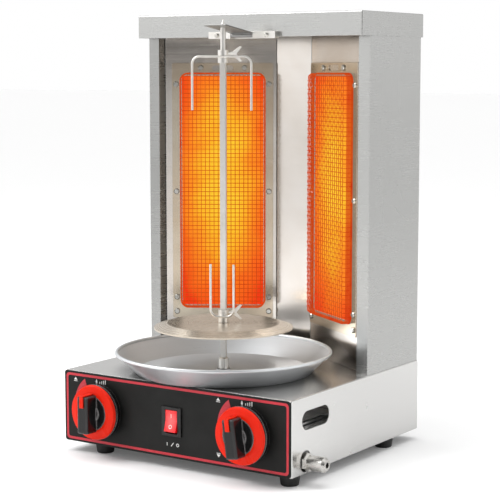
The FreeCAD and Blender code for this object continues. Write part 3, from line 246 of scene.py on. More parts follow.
def makeScratches():
    # a few hair-thin lines in crossed directions
    t, given, out = newGroup(
        "scratches", [("Scale", numberSocket, 60.0), ("Thinness", numberSocket, 0.985)],
        [("Mask", numberSocket)])
    where = t.add("ShaderNodeTexCoord").outputs["Object"]
    total = None
    for turn, slant in ((0.5, (1, 0.06, 0.05)), (2.1, (0.05, 1, 0.08)), (1.2, (0.06, 0.05, 1))):
        turned = t.add("ShaderNodeMapping", {"Vector": where, "Rotation": (turn, turn * 0.7, 0.3),
                                             "Scale": slant}).outputs[0]
        line = t.add("ShaderNodeTexNoise", {"Vector": turned, "Scale": given["Scale"],
                                            "Detail": 1.0}).outputs["Fac"]
        near = t.maths("SUBTRACT", 1.0, t.maths("MULTIPLY", t.maths(
            "ABSOLUTE", t.maths("SUBTRACT", line, 0.5)), 3.0))
        mask = t.spread(near, given["Thinness"], 1.0)
        total = mask if total is None else t.maths("MAXIMUM", total, mask)
    t.tree.links.new(total, out["Mask"])


def makeEdgeHighlightMask():
    # how near a point is to a folded or cut edge, as the mask for painted edge highlights, and the
    # edge's softened normal
    t, given, out = newGroup(
        "edgeHighlightMask", [("Radius", numberSocket, 0.0006), ("Gain", numberSocket, 6.0)],
        [("Edge", numberSocket), ("Normal", vectorSocket)])
    soft = t.add("ShaderNodeBevel", {"Radius": given["Radius"]}, samples=4).outputs[0]
    plain = t.add("ShaderNodeNewGeometry").outputs["Normal"]
    turn = t.maths("SUBTRACT", 1.0, t.vector("DOT_PRODUCT", soft, plain))
    t.tree.links.new(t.maths("MULTIPLY", turn, given["Gain"], clamp=True), out["Edge"])
    t.tree.links.new(soft, out["Normal"])


def makeRecessShadeMask():
    # how shut in a point is, as a mask for painted shade: the mask has one reach below a level,
    # inside the base, and another above it, where the gap under a rim is painted dark as shade
    t, given, out = newGroup(
        "recessShadeMask", [("Level", numberSocket, 0.0), ("Inside", numberSocket, 0.06),
                   ("Outside", numberSocket, 0.05)], [("Mask", numberSocket)])
    where = t.add("ShaderNodeTexCoord").outputs["Object"]
    height = t.add("ShaderNodeSeparateXYZ", {0: where}).outputs[2]
    above = t.maths("GREATER_THAN", height, given["Level"])
    reach = t.add("ShaderNodeMix", {0: above, 2: given["Inside"], 3: given["Outside"]}).outputs[0]
    openSky = t.add("ShaderNodeAmbientOcclusion", {"Distance": reach}, samples=6).outputs["AO"]
    t.tree.links.new(t.spread(openSky, 0.08, 0.62, 1.0, 0.0), out["Mask"])


def makeCastGrain():
    # the fine pebble of moulded plastic, rubber or cast metal
    t, given, out = newGroup(
        "castGrain", [("Scale", numberSocket, 2600.0)], [("Grain", numberSocket)])
    where = t.add("ShaderNodeTexCoord").outputs["Object"]
    cells = t.add("ShaderNodeTexVoronoi", {"Vector": where, "Scale": given["Scale"]}).outputs[0]
    grit = t.noise(where, given["Scale"], 2.0, 0.6)
    t.tree.links.new(t.maths("ADD", t.maths("MULTIPLY", cells, 0.6),
                             t.maths("MULTIPLY", grit, 0.5)), out["Grain"])


def newMaterial(name, metallic=0.0, **sockets):
    # a material with its Principled shader; sockets are constants set straight on it
    material = bpy.data.materials.new(name)
    material.use_nodes = True
    t = Tree(material.node_tree)
    shader = material.node_tree.nodes["Principled BSDF"]
    shader.inputs["Metallic"].default_value = metallic
    for key, value in sockets.items():
        shader.inputs[key.replace("_", " ")].default_value = value
    return material, t, shader.inputs


def relief(t, shader, height, depth, normal=None):
    bump = t.add("ShaderNodeBump", {"Height": height, "Distance": depth, "Strength": 1.0})
    if normal is not None:
        t.tree.links.new(normal, bump.inputs["Normal"])
    t.tree.links.new(bump.outputs[0], shader["Normal"])


sheetLook = {"smudgeScale": 11.0, "markScale": 46.0, "markThinness": 0.994, "edgeRadius": 0.0007,
             "edgeShare": 0.6, "edgeHighlightTint": rgb("f4f4f2"), "recessShadeTint": rgb("1c1b1a"),
             "heatScale": 7.0, "heatLow": 0.38, "heatHigh": 0.72, "smudgeRough": 0.05,
             "markRough": 0.12}


def sheetSteel(name, tint, shade, rough, grainDepth, fineness=900.0, heat=None, marks=0.35,
               recessShade=0.0, **sockets):
    # rolled stainless sheet: level grain, smudges, scratches and edges painted bright as a
    # highlight, with a straw heat tint, and painted shade in recesses, where they are asked for
    material, t, shader = newMaterial(name, metallic=1.0, **sockets)
    grain = t.group("sheetGrain", {"Fineness": fineness}).outputs[0]
    look = sheetLook
    smudge = t.group("smudges", {"Scale": look["smudgeScale"]}).outputs[0]
    scratch = t.maths("MULTIPLY", marks, t.group(
        "scratches", {"Scale": look["markScale"], "Thinness": look["markThinness"]}).outputs[0])
    edge = t.group("edgeHighlightMask", {"Radius": look["edgeRadius"]}).outputs
    colour = t.mixColour(grain, shade, tint)
    if heat is not None:
        heatTint, heatShare = heat
        patch = t.group("smudges", {"Scale": look["heatScale"], "Low": look["heatLow"],
                                    "High": look["heatHigh"]}).outputs[0]
        colour = t.mixColour(t.maths("MULTIPLY", patch, heatShare), colour, heatTint)
    # painted highlight: the colour is mixed towards near white along folded and cut edges
    colour = t.mixColour(t.maths("MULTIPLY", edge["Edge"], look["edgeShare"]), colour,
                         look["edgeHighlightTint"])
    # painted shade: the colour is darkened towards near black in recesses, by an ambient occlusion
    # mask
    if recessShade > 0:
        shadeMask = t.group("recessShadeMask", {"Level": deckLevel}).outputs[0]
        colour = t.mixColour(t.maths("MULTIPLY", shadeMask, recessShade), colour, look["recessShadeTint"])
    t.tree.links.new(colour, shader["Base Color"])
    rougher = t.maths("ADD", t.spread(grain, 0.3, 0.7, rough - 0.02, rough + 0.03),
                      t.maths("MULTIPLY", smudge, look["smudgeRough"]))
    t.tree.links.new(t.maths("ADD", rougher, t.maths("MULTIPLY", scratch, look["markRough"])),
                     shader["Roughness"])
    relief(t, shader, t.maths("SUBTRACT", grain, scratch), grainDepth, edge["Normal"])
    return material


spunLook = {"metallic": 0.82, "fineness": 2200.0, "smudgeScale": 16.0, "marks": 0.25,
            "markScale": 70.0, "markThinness": 0.995, "bandShare": 0.25, "markRough": 0.05}


def spunSteel(name, tint, shade, rough, centre, depth, anisotropic):
    # spun stainless: rings about the axis, broad tone bands and a light drawn round the axis
    look = spunLook
    material, t, shader = newMaterial(name, metallic=look["metallic"], Anisotropic=anisotropic)
    grain = t.group("spunGrain", {"Centre": centre, "Fineness": look["fineness"]}).outputs
    smudge = t.group("smudges", {"Scale": look["smudgeScale"]}).outputs[0]
    scratch = t.maths("MULTIPLY", look["marks"], t.group(
        "scratches", {"Scale": look["markScale"], "Thinness": look["markThinness"]}).outputs[0])
    colour = t.mixColour(grain["Grain"], shade, tint)
    bands = t.spread(grain["Bands"], 0.35, 0.65, 0.0, look["bandShare"])
    colour = t.mixColour(bands, colour, shade)
    t.tree.links.new(colour, shader["Base Color"])
    rougher = t.maths("MULTIPLY", t.maths("ADD", smudge, scratch), look["markRough"])
    t.tree.links.new(t.maths("ADD", t.spread(grain["Grain"], 0.3, 0.7, rough - 0.03, rough + 0.05),
                             rougher), shader["Roughness"])
    t.tree.links.new(t.add("ShaderNodeTangent", direction_type="RADIAL", axis="Z").outputs[0],
                     shader["Tangent"])
    relief(t, shader, t.maths("SUBTRACT", grain["Grain"], scratch), depth)
    return material


turnedLook = {"smudgeScale": 60.0, "smudgeLow": 0.35, "smudgeHigh": 0.75, "smudgeShare": 0.7,
              "edgeRadius": 0.0003, "edgeShare": 0.5, "edgeHighlightTint": rgb("f6f5f2")}


def turnedMetal(name, tint, shade, rough, depth=0.000004, scale=1800.0):
    # machined or drawn metal of the small parts: fine pebble, darker patches, edges painted bright
    # as a highlight
    material, t, shader = newMaterial(name, metallic=1.0)
    grain = t.group("castGrain", {"Scale": scale}).outputs[0]
    look = turnedLook
    smudge = t.group("smudges", {"Scale": look["smudgeScale"], "Low": look["smudgeLow"],
                                 "High": look["smudgeHigh"]}).outputs[0]
    edge = t.group("edgeHighlightMask", {"Radius": look["edgeRadius"]}).outputs
    colour = t.mixColour(t.maths("MULTIPLY", smudge, look["smudgeShare"]), tint, shade)
    # painted highlight: the colour is mixed towards near white along the edges
    colour = t.mixColour(t.maths("MULTIPLY", edge["Edge"], look["edgeShare"]), colour,
                         look["edgeHighlightTint"])
    t.tree.links.new(colour, shader["Base Color"])
    t.tree.links.new(t.spread(smudge, 0, 1, rough - 0.04, rough + 0.08), shader["Roughness"])
    relief(t, shader, grain, depth, edge["Normal"])
    return material


plasticLook = {"smudgeScale": 34.0, "smudgeLow": 0.35, "smudgeHigh": 0.7, "markScale": 150.0,
               "markThinness": 0.992, "markRough": 0.1, "edgeGain": 4.0}


def mouldedPlastic(name, tint, shade, rough, depth, highlightTint, highlightShare=0.5, scale=2400.0,
                   edgeReach=0.0007, **sockets):
    # moulded plastic or rubber: pebble grain, faint tone drift, edges painted lighter as a
    # highlight
    material, t, shader = newMaterial(name, **sockets)
    grain = t.group("castGrain", {"Scale": scale}).outputs[0]
    look = plasticLook
    smudge = t.group("smudges", {"Scale": look["smudgeScale"], "Low": look["smudgeLow"],
                                 "High": look["smudgeHigh"]}).outputs[0]
    scratch = t.group("scratches", {"Scale": look["markScale"],
                                    "Thinness": look["markThinness"]}).outputs[0]
    edge = t.group("edgeHighlightMask", {"Radius": edgeReach, "Gain": look["edgeGain"]}).outputs
    colour = t.mixColour(smudge, tint, shade)
    # painted highlight: the colour is mixed towards a lighter tint along the edges
    colour = t.mixColour(t.maths("MULTIPLY", edge["Edge"], highlightShare), colour, highlightTint)
    t.tree.links.new(colour, shader["Base Color"])
    t.tree.links.new(t.maths("ADD", t.spread(smudge, 0, 1, rough - 0.05, rough + 0.07),
                             t.maths("MULTIPLY", scratch, look["markRough"])),
                     shader["Roughness"])
    relief(t, shader, t.maths("SUBTRACT", grain, scratch), depth, edge["Normal"])
    return material


glow = {"strength": 1.0, "thrown": (0.54, 0.49, 0.44, 1), "hotLift": 0.012, "mottle": 0.9,
        "mottleScale": 26.0, "holePitch": 0.0017, "holeShade": 0.28,
        "holeGlow": (0.42, 0.04, 0.004, 1), "holeDepth": 0.0003, "rampShare": 0.62,
        "ramp": ((0.0, (1.0, 0.62, 0.03, 1)), (0.16, (1.0, 0.50, 0.02, 1)),
                 (0.36, (0.98, 0.30, 0.014, 1)), (0.62, (0.95, 0.15, 0.01, 1)),
                 (1.0, (0.88, 0.04, 0.006, 1))),
        "tint": rgb("4c2412"), "holeTint": rgb("1c0c06")}


def glowingTile(name, middle, angle, halfWide, halfTall):
    # fired ceramic burner plate: yellow-hot middle, red rim, rows of pin holes over the whole face
    material, t, shader = newMaterial(name, Roughness=0.9, Specular_IOR_Level=0.1,
                                      Emission_Strength=glow["strength"])
    where = t.add("ShaderNodeTexCoord").outputs["Object"]
    centred = t.vector("SUBTRACT", where, middle)
    face = t.add("ShaderNodeMapping", {"Vector": centred, "Rotation": (0, 0, angle)}).outputs[0]
    parts = t.add("ShaderNodeSeparateXYZ", {0: face})
    drift = t.maths("SUBTRACT", t.noise(where, glow["mottleScale"], 3.0, 0.6), 0.5)
    side = t.maths("DIVIDE", t.maths("ABSOLUTE", parts.outputs[0]), halfWide)
    rise = t.maths("DIVIDE", t.maths("ABSOLUTE", t.maths("SUBTRACT", parts.outputs[2],
                                                         glow["hotLift"])), halfTall)
    cool = t.maths("ADD", t.maths("POWER", side, 2.0), t.maths("POWER", rise, 2.2))
    cool = t.maths("ADD", cool, t.maths("MULTIPLY", drift, glow["mottle"]))
    warm = t.ramp(t.maths("MULTIPLY", cool, glow["rampShare"]), glow["ramp"])
    pitch = glow["holePitch"]
    grid = t.vector("MULTIPLY", face, (1 / pitch, 1 / pitch, 1 / pitch))
    spots = t.add("ShaderNodeTexVoronoi", {"Vector": t.vector(
        "MULTIPLY", grid, (1, 0, 1)), "Scale": 1.0, "Randomness": 0.12}).outputs["Distance"]
    hole = t.spread(spots, 0.28, 0.36, 1.0, 0.0)
    colour = t.mixColour(t.maths("MULTIPLY", hole, glow["holeShade"]), warm, glow["holeGlow"])
    # the steel about it picks up only a pale, straw-coloured share of the glow
    seen = t.add("ShaderNodeLightPath").outputs["Is Camera Ray"]
    t.tree.links.new(t.mixColour(seen, glow["thrown"], colour), shader["Emission Color"])
    t.tree.links.new(t.mixColour(hole, glow["tint"], glow["holeTint"]), shader["Base Color"])
    relief(t, shader, t.maths("SUBTRACT", 1.0, hole), glow["holeDepth"])
    return material


wireLook = {"strength": 0.62, "hot": (1.0, 0.13, 0.006, 1), "cool": (0.9, 0.05, 0.004, 1),
            "tint": rgb("3a180c"), "shade": rgb("220f08"), "grainScale": 3600.0,
            "patchScale": 55.0, "patchLow": 0.35, "patchHigh": 0.7, "smooth": 0.45, "rough": 0.7,
            "depth": 0.00003}


def wireMaterial(name):
    # oxidised heat-resisting wire that glows red in front of the tile, unevenly
    look = wireLook
    material, t, shader = newMaterial(name, Specular_IOR_Level=0.05,
                                      Emission_Strength=look["strength"])
    grain = t.group("castGrain", {"Scale": look["grainScale"]}).outputs[0]
    patch = t.group("smudges", {"Scale": look["patchScale"], "Low": look["patchLow"],
                                "High": look["patchHigh"]}).outputs[0]
    t.tree.links.new(t.mixColour(patch, look["tint"], look["shade"]), shader["Base Color"])
    seen = t.add("ShaderNodeLightPath").outputs["Is Camera Ray"]
    hot = t.mixColour(patch, look["hot"], look["cool"])
    t.tree.links.new(t.mixColour(seen, glow["thrown"], hot), shader["Emission Color"])
    t.tree.links.new(t.spread(patch, 0, 1, look["smooth"], look["rough"]), shader["Roughness"])
    relief(t, shader, grain, look["depth"])
    return material


rockerLook = {"strength": 0.55, "falloff": (120.0, 40.0, 80.0), "streaks": (500.0, 500.0, 60.0),
              "streakShare": 0.25, "edgeRadius": 0.0005, "depth": 0.00003,
              "tint": rgb("e00a14"), "middleTint": rgb("ff5a5a"),
              "lamp": rgb("a00006"), "middleLamp": rgb("ff6464")}


def litRocker(name, middle):
    # clear red polycarbonate with the neon lamp behind it: paler in the middle
    look = rockerLook
    material, t, shader = newMaterial(name, Roughness=0.22, Emission_Strength=look["strength"],
                                      Coat_Weight=0.4, Coat_Roughness=0.08)
    where = t.add("ShaderNodeTexCoord").outputs["Object"]
    reach = t.vector("LENGTH", t.vector("MULTIPLY", t.vector("SUBTRACT", where, middle),
                                        look["falloff"]))
    streak = t.noise(t.vector("MULTIPLY", where, look["streaks"]), 1.0, 2.0)
    reach = t.maths("ADD", reach, t.maths("MULTIPLY", streak, look["streakShare"]))
    hot = t.spread(reach, 0.1, 1.15, 1.0, 0.0)
    t.tree.links.new(t.mixColour(hot, look["tint"], look["middleTint"]), shader["Base Color"])
    t.tree.links.new(t.mixColour(hot, look["lamp"], look["middleLamp"]), shader["Emission Color"])
    edge = t.group("edgeHighlightMask", {"Radius": look["edgeRadius"]}).outputs
    relief(t, shader, streak, look["depth"], edge["Normal"])
    return material


inkLook = {"meshScale": 3000.0, "patchScale": 90.0, "patchLow": 0.3, "patchHigh": 0.8,
           "shade": 0.86, "patchRough": 0.12, "depth": 0.00002}


def printInk(name, tint, rough):
    # screen-printed ink: mesh marks from the screen and a thin, soft gloss
    look = inkLook
    material, t, shader = newMaterial(name, Specular_IOR_Level=0.4)
    where = t.add("ShaderNodeTexCoord").outputs["Object"]
    weave = t.add("ShaderNodeTexVoronoi", {"Vector": where, "Scale": look["meshScale"]}).outputs[0]
    patch = t.group("smudges", {"Scale": look["patchScale"], "Low": look["patchLow"],
                                "High": look["patchHigh"]}).outputs[0]
    darker = tuple(c * look["shade"] for c in tint[:3]) + (1.0,)
    t.tree.links.new(t.mixColour(patch, tint, darker), shader["Base Color"])
    t.tree.links.new(t.spread(patch, 0, 1, rough, rough + look["patchRough"]),
                     shader["Roughness"])
    relief(t, shader, weave, look["depth"])
    return material


paint = {"dark": 0.95, "pale": 0.97, "mirrored": 0.80, "glow": 0.09, "cloudScale": 1.2}


def floorPaint():
    # pale matt paint; polished metal sees it darker, as it would a grey card laid round the set
    material, t, shader = newMaterial("floorPaint", Roughness=0.8, Specular_IOR_Level=0.1,
                                      Emission_Color=(1, 1, 1, 1))
    where = t.add("ShaderNodeTexCoord").outputs["Object"]
    cloud = t.noise(where, paint["cloudScale"], 2.0)
    plain = t.mixColour(cloud, grey(paint["dark"]), grey(paint["pale"]))
    mirrored = t.add("ShaderNodeLightPath").outputs["Is Glossy Ray"]
    t.tree.links.new(t.mixColour(mirrored, plain, grey(paint["mirrored"])), shader["Base Color"])
    t.tree.links.new(t.spread(mirrored, 0, 1, paint["glow"], 0.0), shader["Emission Strength"])
    return material


# the studio seen by shiny surfaces: brightness against azimuth, -180 to 180 degrees. The ceiling
# and the ground take over between two heights of a unit vector's end.
room = {"bands": ((-180, 0.62), (-130, 0.62), (-75, 1.25), (-36, 1.12), (-6, 0.70), (18, 0.06),
                  (52, 0.06), (68, 0.70), (100, 1.35), (146, 0.90), (180, 0.62)),
        "ceiling": 1.8, "ceilingMirrored": 0.4, "ceilingFrom": 0.86, "ceilingFull": 0.98,
        "ground": 0.80, "groundFrom": -0.25, "groundFull": -0.6}


def makeWorld():
    world = bpy.data.worlds.new("studio")
    scene.world = world
    world.use_nodes = True
    t = Tree(world.node_tree)
    background = world.node_tree.nodes["Background"]
    way = t.add("ShaderNodeSeparateXYZ", {0: t.add("ShaderNodeTexCoord").outputs["Generated"]})
    azimuth = t.maths("ARCTAN2", way.outputs[0], t.maths("MULTIPLY", way.outputs[1], -1.0))
    place = t.spread(azimuth, -math.pi, math.pi)
    stops = [((turn + 180) / 360, grey(tone)) for turn, tone in room["bands"]]
    around = t.ramp(place, stops, "EASE")
    path = t.add("ShaderNodeLightPath").outputs
    up = t.spread(path["Is Glossy Ray"], 0, 1, room["ceiling"], room["ceilingMirrored"])
    high = t.spread(way.outputs[2], room["ceilingFrom"], room["ceilingFull"])
    low = t.spread(way.outputs[2], room["groundFrom"], room["groundFull"])
    colour = t.mixColour(high, around, t.add("ShaderNodeCombineColor",
                                             {0: up, 1: up, 2: up}).outputs[0])
    colour = t.mixColour(low, colour, grey(room["ground"]))
    t.tree.links.new(t.mixColour(path["Is Camera Ray"], colour, grey(studio["skyWhite"])),
                     background.inputs["Color"])


def makeFloor():
    # one flat square sheet at the level of the feet
    half = studio["floor"] / 2
    low = cadBox[0][2]
    corners = [(-half, -half, low), (half, -half, low), (half, half, low), (-half, half, low)]
    mesh = bpy.data.meshes.new("floor")
    mesh.from_pydata(corners, [], [(0, 1, 2, 3)])
    floor = bpy.data.objects.new("floor", mesh)
    scene.collection.objects.link(floor)
    mesh.materials.append(floorPaint())


def gridQuads(rows, cols, loopRows=False, loopCols=False):
    # quads joining a rows by cols grid of points; a looped direction joins its last to its first
    i, j = np.meshgrid(np.arange(rows if loopRows else rows - 1),
                       np.arange(cols if loopCols else cols - 1), indexing="ij")
    down, right = (i + 1) % rows, (j + 1) % cols
    return np.stack([i * cols + j, down * cols + j, down * cols + right, i * cols + right],
                    -1).reshape(-1, 4)


def makePiece(name, body, material, points, faces, smooth=True):
    # a mesh piece from an (n, 3) array of points and a list of face arrays, riding on a body
    mesh = bpy.data.meshes.new(name)
    points = np.asarray(points, np.float32).reshape(-1, 3)
    sizes = np.concatenate([np.full(len(f), f.shape[1], np.int32) for f in faces])
    corners = np.concatenate([np.asarray(f, np.int32).ravel() for f in faces])
    mesh.vertices.add(len(points))
    mesh.vertices.foreach_set("co", points.ravel())
    mesh.loops.add(len(corners))
    mesh.loops.foreach_set("vertex_index", corners)
    mesh.polygons.add(len(sizes))
    mesh.polygons.foreach_set("loop_start", np.concatenate([[0], np.cumsum(sizes)[:-1]]))
    mesh.polygons.foreach_set("use_smooth", np.full(len(sizes), smooth))
    mesh.update(calc_edges=True)
    mesh.validate()
    piece = bpy.data.objects.new(name, mesh)
    scene.collection.objects.link(piece)
    mesh.materials.append(material)
    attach(piece, body)
    return piece


def wires(paths, radius, corners, across):
    # Round wires along many paths at once: each point becomes a ring of the given radius in the
    # plane square to the path, whose first axis is the tangent crossed with a fixed direction.
    paths = np.asarray(paths, float)
    count, steps = paths.shape[:2]
    ahead = np.gradient(paths, axis=1)
    ahead /= np.linalg.norm(ahead, axis=2, keepdims=True)
    first = np.cross(ahead, np.asarray(across, float))
    first /= np.linalg.norm(first, axis=2, keepdims=True)
    second = np.cross(ahead, first)
    turn = np.linspace(0, 2 * np.pi, corners, endpoint=False)
    ring = (np.cos(turn)[:, None] * first[:, :, None, :]
            + np.sin(turn)[:, None] * second[:, :, None, :])
    points = (paths[:, :, None, :] + radius * ring).reshape(-1, 3)
    start = np.arange(count)[:, None, None] * steps * corners
    body = (gridQuads(steps, corners, loopCols=True)[None] + start).reshape(-1, 4)
    cap = np.arange(corners)
    ends = np.concatenate([cap[None] + start[:, 0], cap[::-1][None] + start[:, 0]
                           + (steps - 1) * corners])
    return points, [body, ends]


def joined(parts):
    # several (points, faces) pairs as one
    points, faces, start = [], [], 0
    for somePoints, someFaces in parts:
        points.append(somePoints)
        faces += [f + start for f in someFaces]
        start += len(somePoints)
    return np.concatenate(points), faces


def slab(outline, thick):
    # A flat plate from a closed (n, 2) outline: the outline at depth 0 and at the thickness,
    # joined round the edge. Returned as (x, depth, z) points.
    n = len(outline)
    flat = np.zeros((2, n, 3))
    flat[:, :, 0], flat[:, :, 2] = outline[:, 0], outline[:, 1]
    flat[1, :, 1] = -thick
    return flat.reshape(-1, 3), [gridQuads(2, n, loopCols=True), np.arange(n)[None, ::-1],
                                 np.arange(n)[None] + n]


def band(outer, inner, thick):
    # a flat closed ring between two (n, 2) outlines with the same number of points
    n = len(outer)
    flat = np.zeros((4, n, 3))
    loops = ((outer, 0), (outer, thick), (inner, thick), (inner, 0))
    for row, (outline, depth) in enumerate(loops):
        flat[row, :, 0], flat[row, :, 2] = outline[:, 0], outline[:, 1]
        flat[row, :, 1] = -depth
    return flat.reshape(-1, 3), [gridQuads(4, n, loopRows=True, loopCols=True)]


def roundedOutline(halfWide, halfTall, radius, steps=8):
    # a rounded rectangle about (0, 0): four quarter circles, anticlockwise from the right side
    turn = np.linspace(0, np.pi / 2, steps)
    rows = []
    for quarter, (sx, sz) in enumerate(((1, 1), (-1, 1), (-1, -1), (1, -1))):
        angle = turn + quarter * np.pi / 2
        rows.append(np.stack([sx * (halfWide - radius) + radius * np.cos(angle),
                              sz * (halfTall - radius) + radius * np.sin(angle)], 1))
    return np.concatenate(rows)


guard = {"pitch": 0.005, "wire": 0.00036, "wireCorners": 5, "corner": 0.009, "cornerSteps": 24,
         "bend": 0.003, "weave": 0.00032, "perPitch": 4, "hoops": 7, "hoopCorners": 6,
         "lastGap": 0.4, "rim": 0.0009, "facetAngle": 33.0}


def facetFrame(node, side):
    # A tray on a facet turned about Z: its width and depth follow from its upright box, because
    # box x = w cos a + d sin a and box y = w sin a + d cos a.
    low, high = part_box(node)
    a = math.radians(guard["facetAngle"])
    c, s = math.cos(a), math.sin(a)
    boxX, boxY = high[0] - low[0], high[1] - low[1]
    width, depth = np.linalg.solve([[c, s], [s, c]], [boxX, boxY])
    return (low + high) / 2, width, depth, high[2] - low[2], -side * a


def toFacet(points, centre, turn):
    # from the facet's own frame (x along, y behind, z up, about its centre) to the model's
    c, s = math.cos(turn), math.sin(turn)
    points = np.asarray(points, float)
    x, y, z = points[..., 0], points[..., 1], points[..., 2]
    return np.stack([centre[0] + x * c - y * s, centre[1] + x * s + y * c, centre[2] + z], -1)


def trayPath(half, depth, bend, steps):
    # A line that rises from the plate, bends over, runs across the front and comes back: returned
    # as (along, depth) for an even share of its length. The bends are quarter circles.
    side, arc, front = depth - bend, bend * math.pi / 2, 2 * (half - bend)
    marks = np.cumsum([0, side, arc, front, arc, side])
    at = np.linspace(0, marks[-1], steps)
    along = np.full(steps, -half)
    out = np.interp(at, marks[:2], [0, side])
    turn = np.clip((at - marks[1]) / arc, 0, 1) * np.pi / 2
    along = along + bend * (1 - np.cos(turn))
    out = out + bend * np.sin(turn)
    along = along + np.interp(at, marks[2:4], [0, front])
    turn = np.clip((at - marks[3]) / arc, 0, 1) * np.pi / 2
    along = along + bend * np.sin(turn)
    out = out - bend * (1 - np.cos(turn))
    out = out - np.interp(at, marks[4:6], [0, side])
    return along, out


def cornerHalf(offset, halfAlong, halfAcross, radius):
    # half the length left of a rounded rectangle at a distance from its middle line
    past = np.clip(np.abs(offset) - (halfAcross - radius), 0, radius)
    return halfAlong - radius + np.sqrt(np.maximum(radius ** 2 - past ** 2, 0))


def makeGuard(side, name, material):
    # level and upright wires that pass over and under each other, and hoops round the tray's wall
    centre, width, depth, tall, turn = facetFrame(f"burner_mesh_{name}", side)
    r, pitch = guard["wire"], guard["pitch"]
    halfW, halfT = width / 2 - r, tall / 2 - r
    reach = depth - guard["weave"] - 2 * r
    parts = []
    for lengthHalf, crossHalf, level in ((halfW, halfT, True), (halfT, halfW, False)):
        lines = int(2 * crossHalf / pitch)
        offsets = (np.arange(lines) - (lines - 1) / 2) * pitch
        steps = int(2 * (lengthHalf + reach) / pitch) * guard["perPitch"]
        paths = []
        for number, offset in enumerate(offsets):
            half = cornerHalf(offset, lengthHalf, crossHalf, guard["corner"])
            along, out = trayPath(half, reach, guard["bend"], steps)
            phase = np.pi * (number + (0 if level else 1))
            over = guard["weave"] * np.cos(np.pi * along / pitch + phase)
            out = out + over * (np.abs(along) < half - guard["bend"] * 2)
            y = depth / 2 - out
            beside = np.full(steps, offset)
            paths.append(np.stack([along, y, beside] if level else [beside, y, along], 1))
        parts.append(wires(paths, r, guard["wireCorners"], (0, 0, 1) if level else (1, 0, 0)))
    outline = roundedOutline(halfW, halfT, guard["corner"], guard["cornerSteps"])
    outline = np.concatenate([outline, outline[:1]])
    for hoop in range(guard["hoops"] + 1):
        thick = guard["rim"] if hoop == 0 else r  # the first hoop is the rim on the face plate
        y = depth / 2 - (depth - guard["bend"]) * hoop / (guard["hoops"] + guard["lastGap"])
        y = y - thick if hoop == 0 else y
        path = np.stack([outline[:, 0], np.full(len(outline), y), outline[:, 1]], 1)
        parts.append(wires([path], thick, guard["hoopCorners"], (0, 1, 0)))
    points, faces = joined(parts)
    piece = makePiece(f"burnerGuard{name.capitalize()}", "base", material,
                      toFacet(points, centre, turn), faces)
    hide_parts(f"burner_mesh_{name}")


panel = {"inset": 2.3 * mm, "line": 2.7 * mm, "corner": 4.0 * mm, "ink": 0.12 * mm}
# millimetres from a knob's middle, and for the switch marks from its body's lower edge
panelMarks = {"flame": (-7.0, 31.6), "arrowUp": (-37.0, 31.0), "arrowDown": (-36.5, -28.0),
              "switchDrop": 9.5, "switchApart": 7.0, "switchLine": 0.7, "barTall": 1.4,
              "slant": 1.8, "ring": (1.9, 1.89), "ringHole": (1.2, 1.19)}


def middleOf(node):
    low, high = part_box(node)
    return (low + high) / 2


def strokes(lines, width, thick, middle):
    # straight bars of one width, each a thin slab, between pairs of points in millimetres
    parts = []
    for (x0, z0), (x1, z1) in lines:
        a, b = np.array([x0, z0]) * mm, np.array([x1, z1]) * mm
        along = (b - a) / max(np.linalg.norm(b - a), 1e-9)
        side = np.array([-along[1], along[0]]) * width / 2
        a, b = a - along * width / 2, b + along * width / 2
        outline = np.array([a - side, b - side, b + side, a + side]) + middle
        parts.append(slab(outline, thick))
    return parts


def makePanelPrint(red, white):
    # a red frame line and a horn about each knob, with white marks, all as thin slabs of ink
    low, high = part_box("front_panel")
    face = low[1]
    ink = panel["ink"]
    halfW, halfT = (high[0] - low[0]) / 2, (high[2] - low[2]) / 2
    inset, line, corner = panel["inset"], panel["line"], panel["corner"]
    shift = (np.asarray(low) + np.asarray(high))[[0, 2]] / 2
    outer = roundedOutline(halfW - inset, halfT - inset, corner) + shift
    inner = roundedOutline(halfW - inset - line, halfT - inset - line, corner - line / 2) + shift
    redParts = [band(outer, inner, ink)]
    whiteParts = []
    for _, name in sides:
        spot = np.array([middleOf(f"knob_ring_{name}")[0], middleOf(f"valve_stem_{name}")[2]])
        redParts.append(crescent(spot, ink))
        whiteParts += flameMark(spot + np.array(panelMarks["flame"]) * mm, ink)
        whiteParts += arrowMark(spot + np.array(panelMarks["arrowUp"]) * mm, ink, 1)
        if name == "right":
            whiteParts += arrowMark(spot + np.array(panelMarks["arrowDown"]) * mm, ink, -1)
    under = np.array([middleOf("switch_body")[0],
                      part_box("switch_body")[0][2] - panelMarks["switchDrop"] * mm])
    apart, tall, slant = (panelMarks[key] for key in ("switchApart", "barTall", "slant"))
    whiteParts += strokes([((-apart, -tall), (-apart, tall)), ((-tall, -slant), (tall, slant))],
                          panelMarks["switchLine"] * mm, ink, under)
    ring, hole = (roundedOutline(radius * mm, radius * mm, corner * mm) + under
                  + np.array([apart * mm, 0])
                  for radius, corner in (panelMarks["ring"], panelMarks["ringHole"]))
    whiteParts.append(band(ring, hole, ink))
    for name, parts, material in (("panelPrintRed", redParts, red),
                                  ("panelPrintWhite", whiteParts, white)):
        points, faces = joined(parts)
        makePiece(name, "base", material, points + np.array([0, face, 0]), faces,
                  smooth=False)


# barHalf is in millimetres, and offCentre a share of the rocker's height
rockerInk = {"ring": 2.1 * mm, "hole": 1.4 * mm, "roundness": 0.999, "barHalf": 1.7,
             "barWide": 0.8 * mm, "offCentre": 0.24, "rayStart": 0.01}


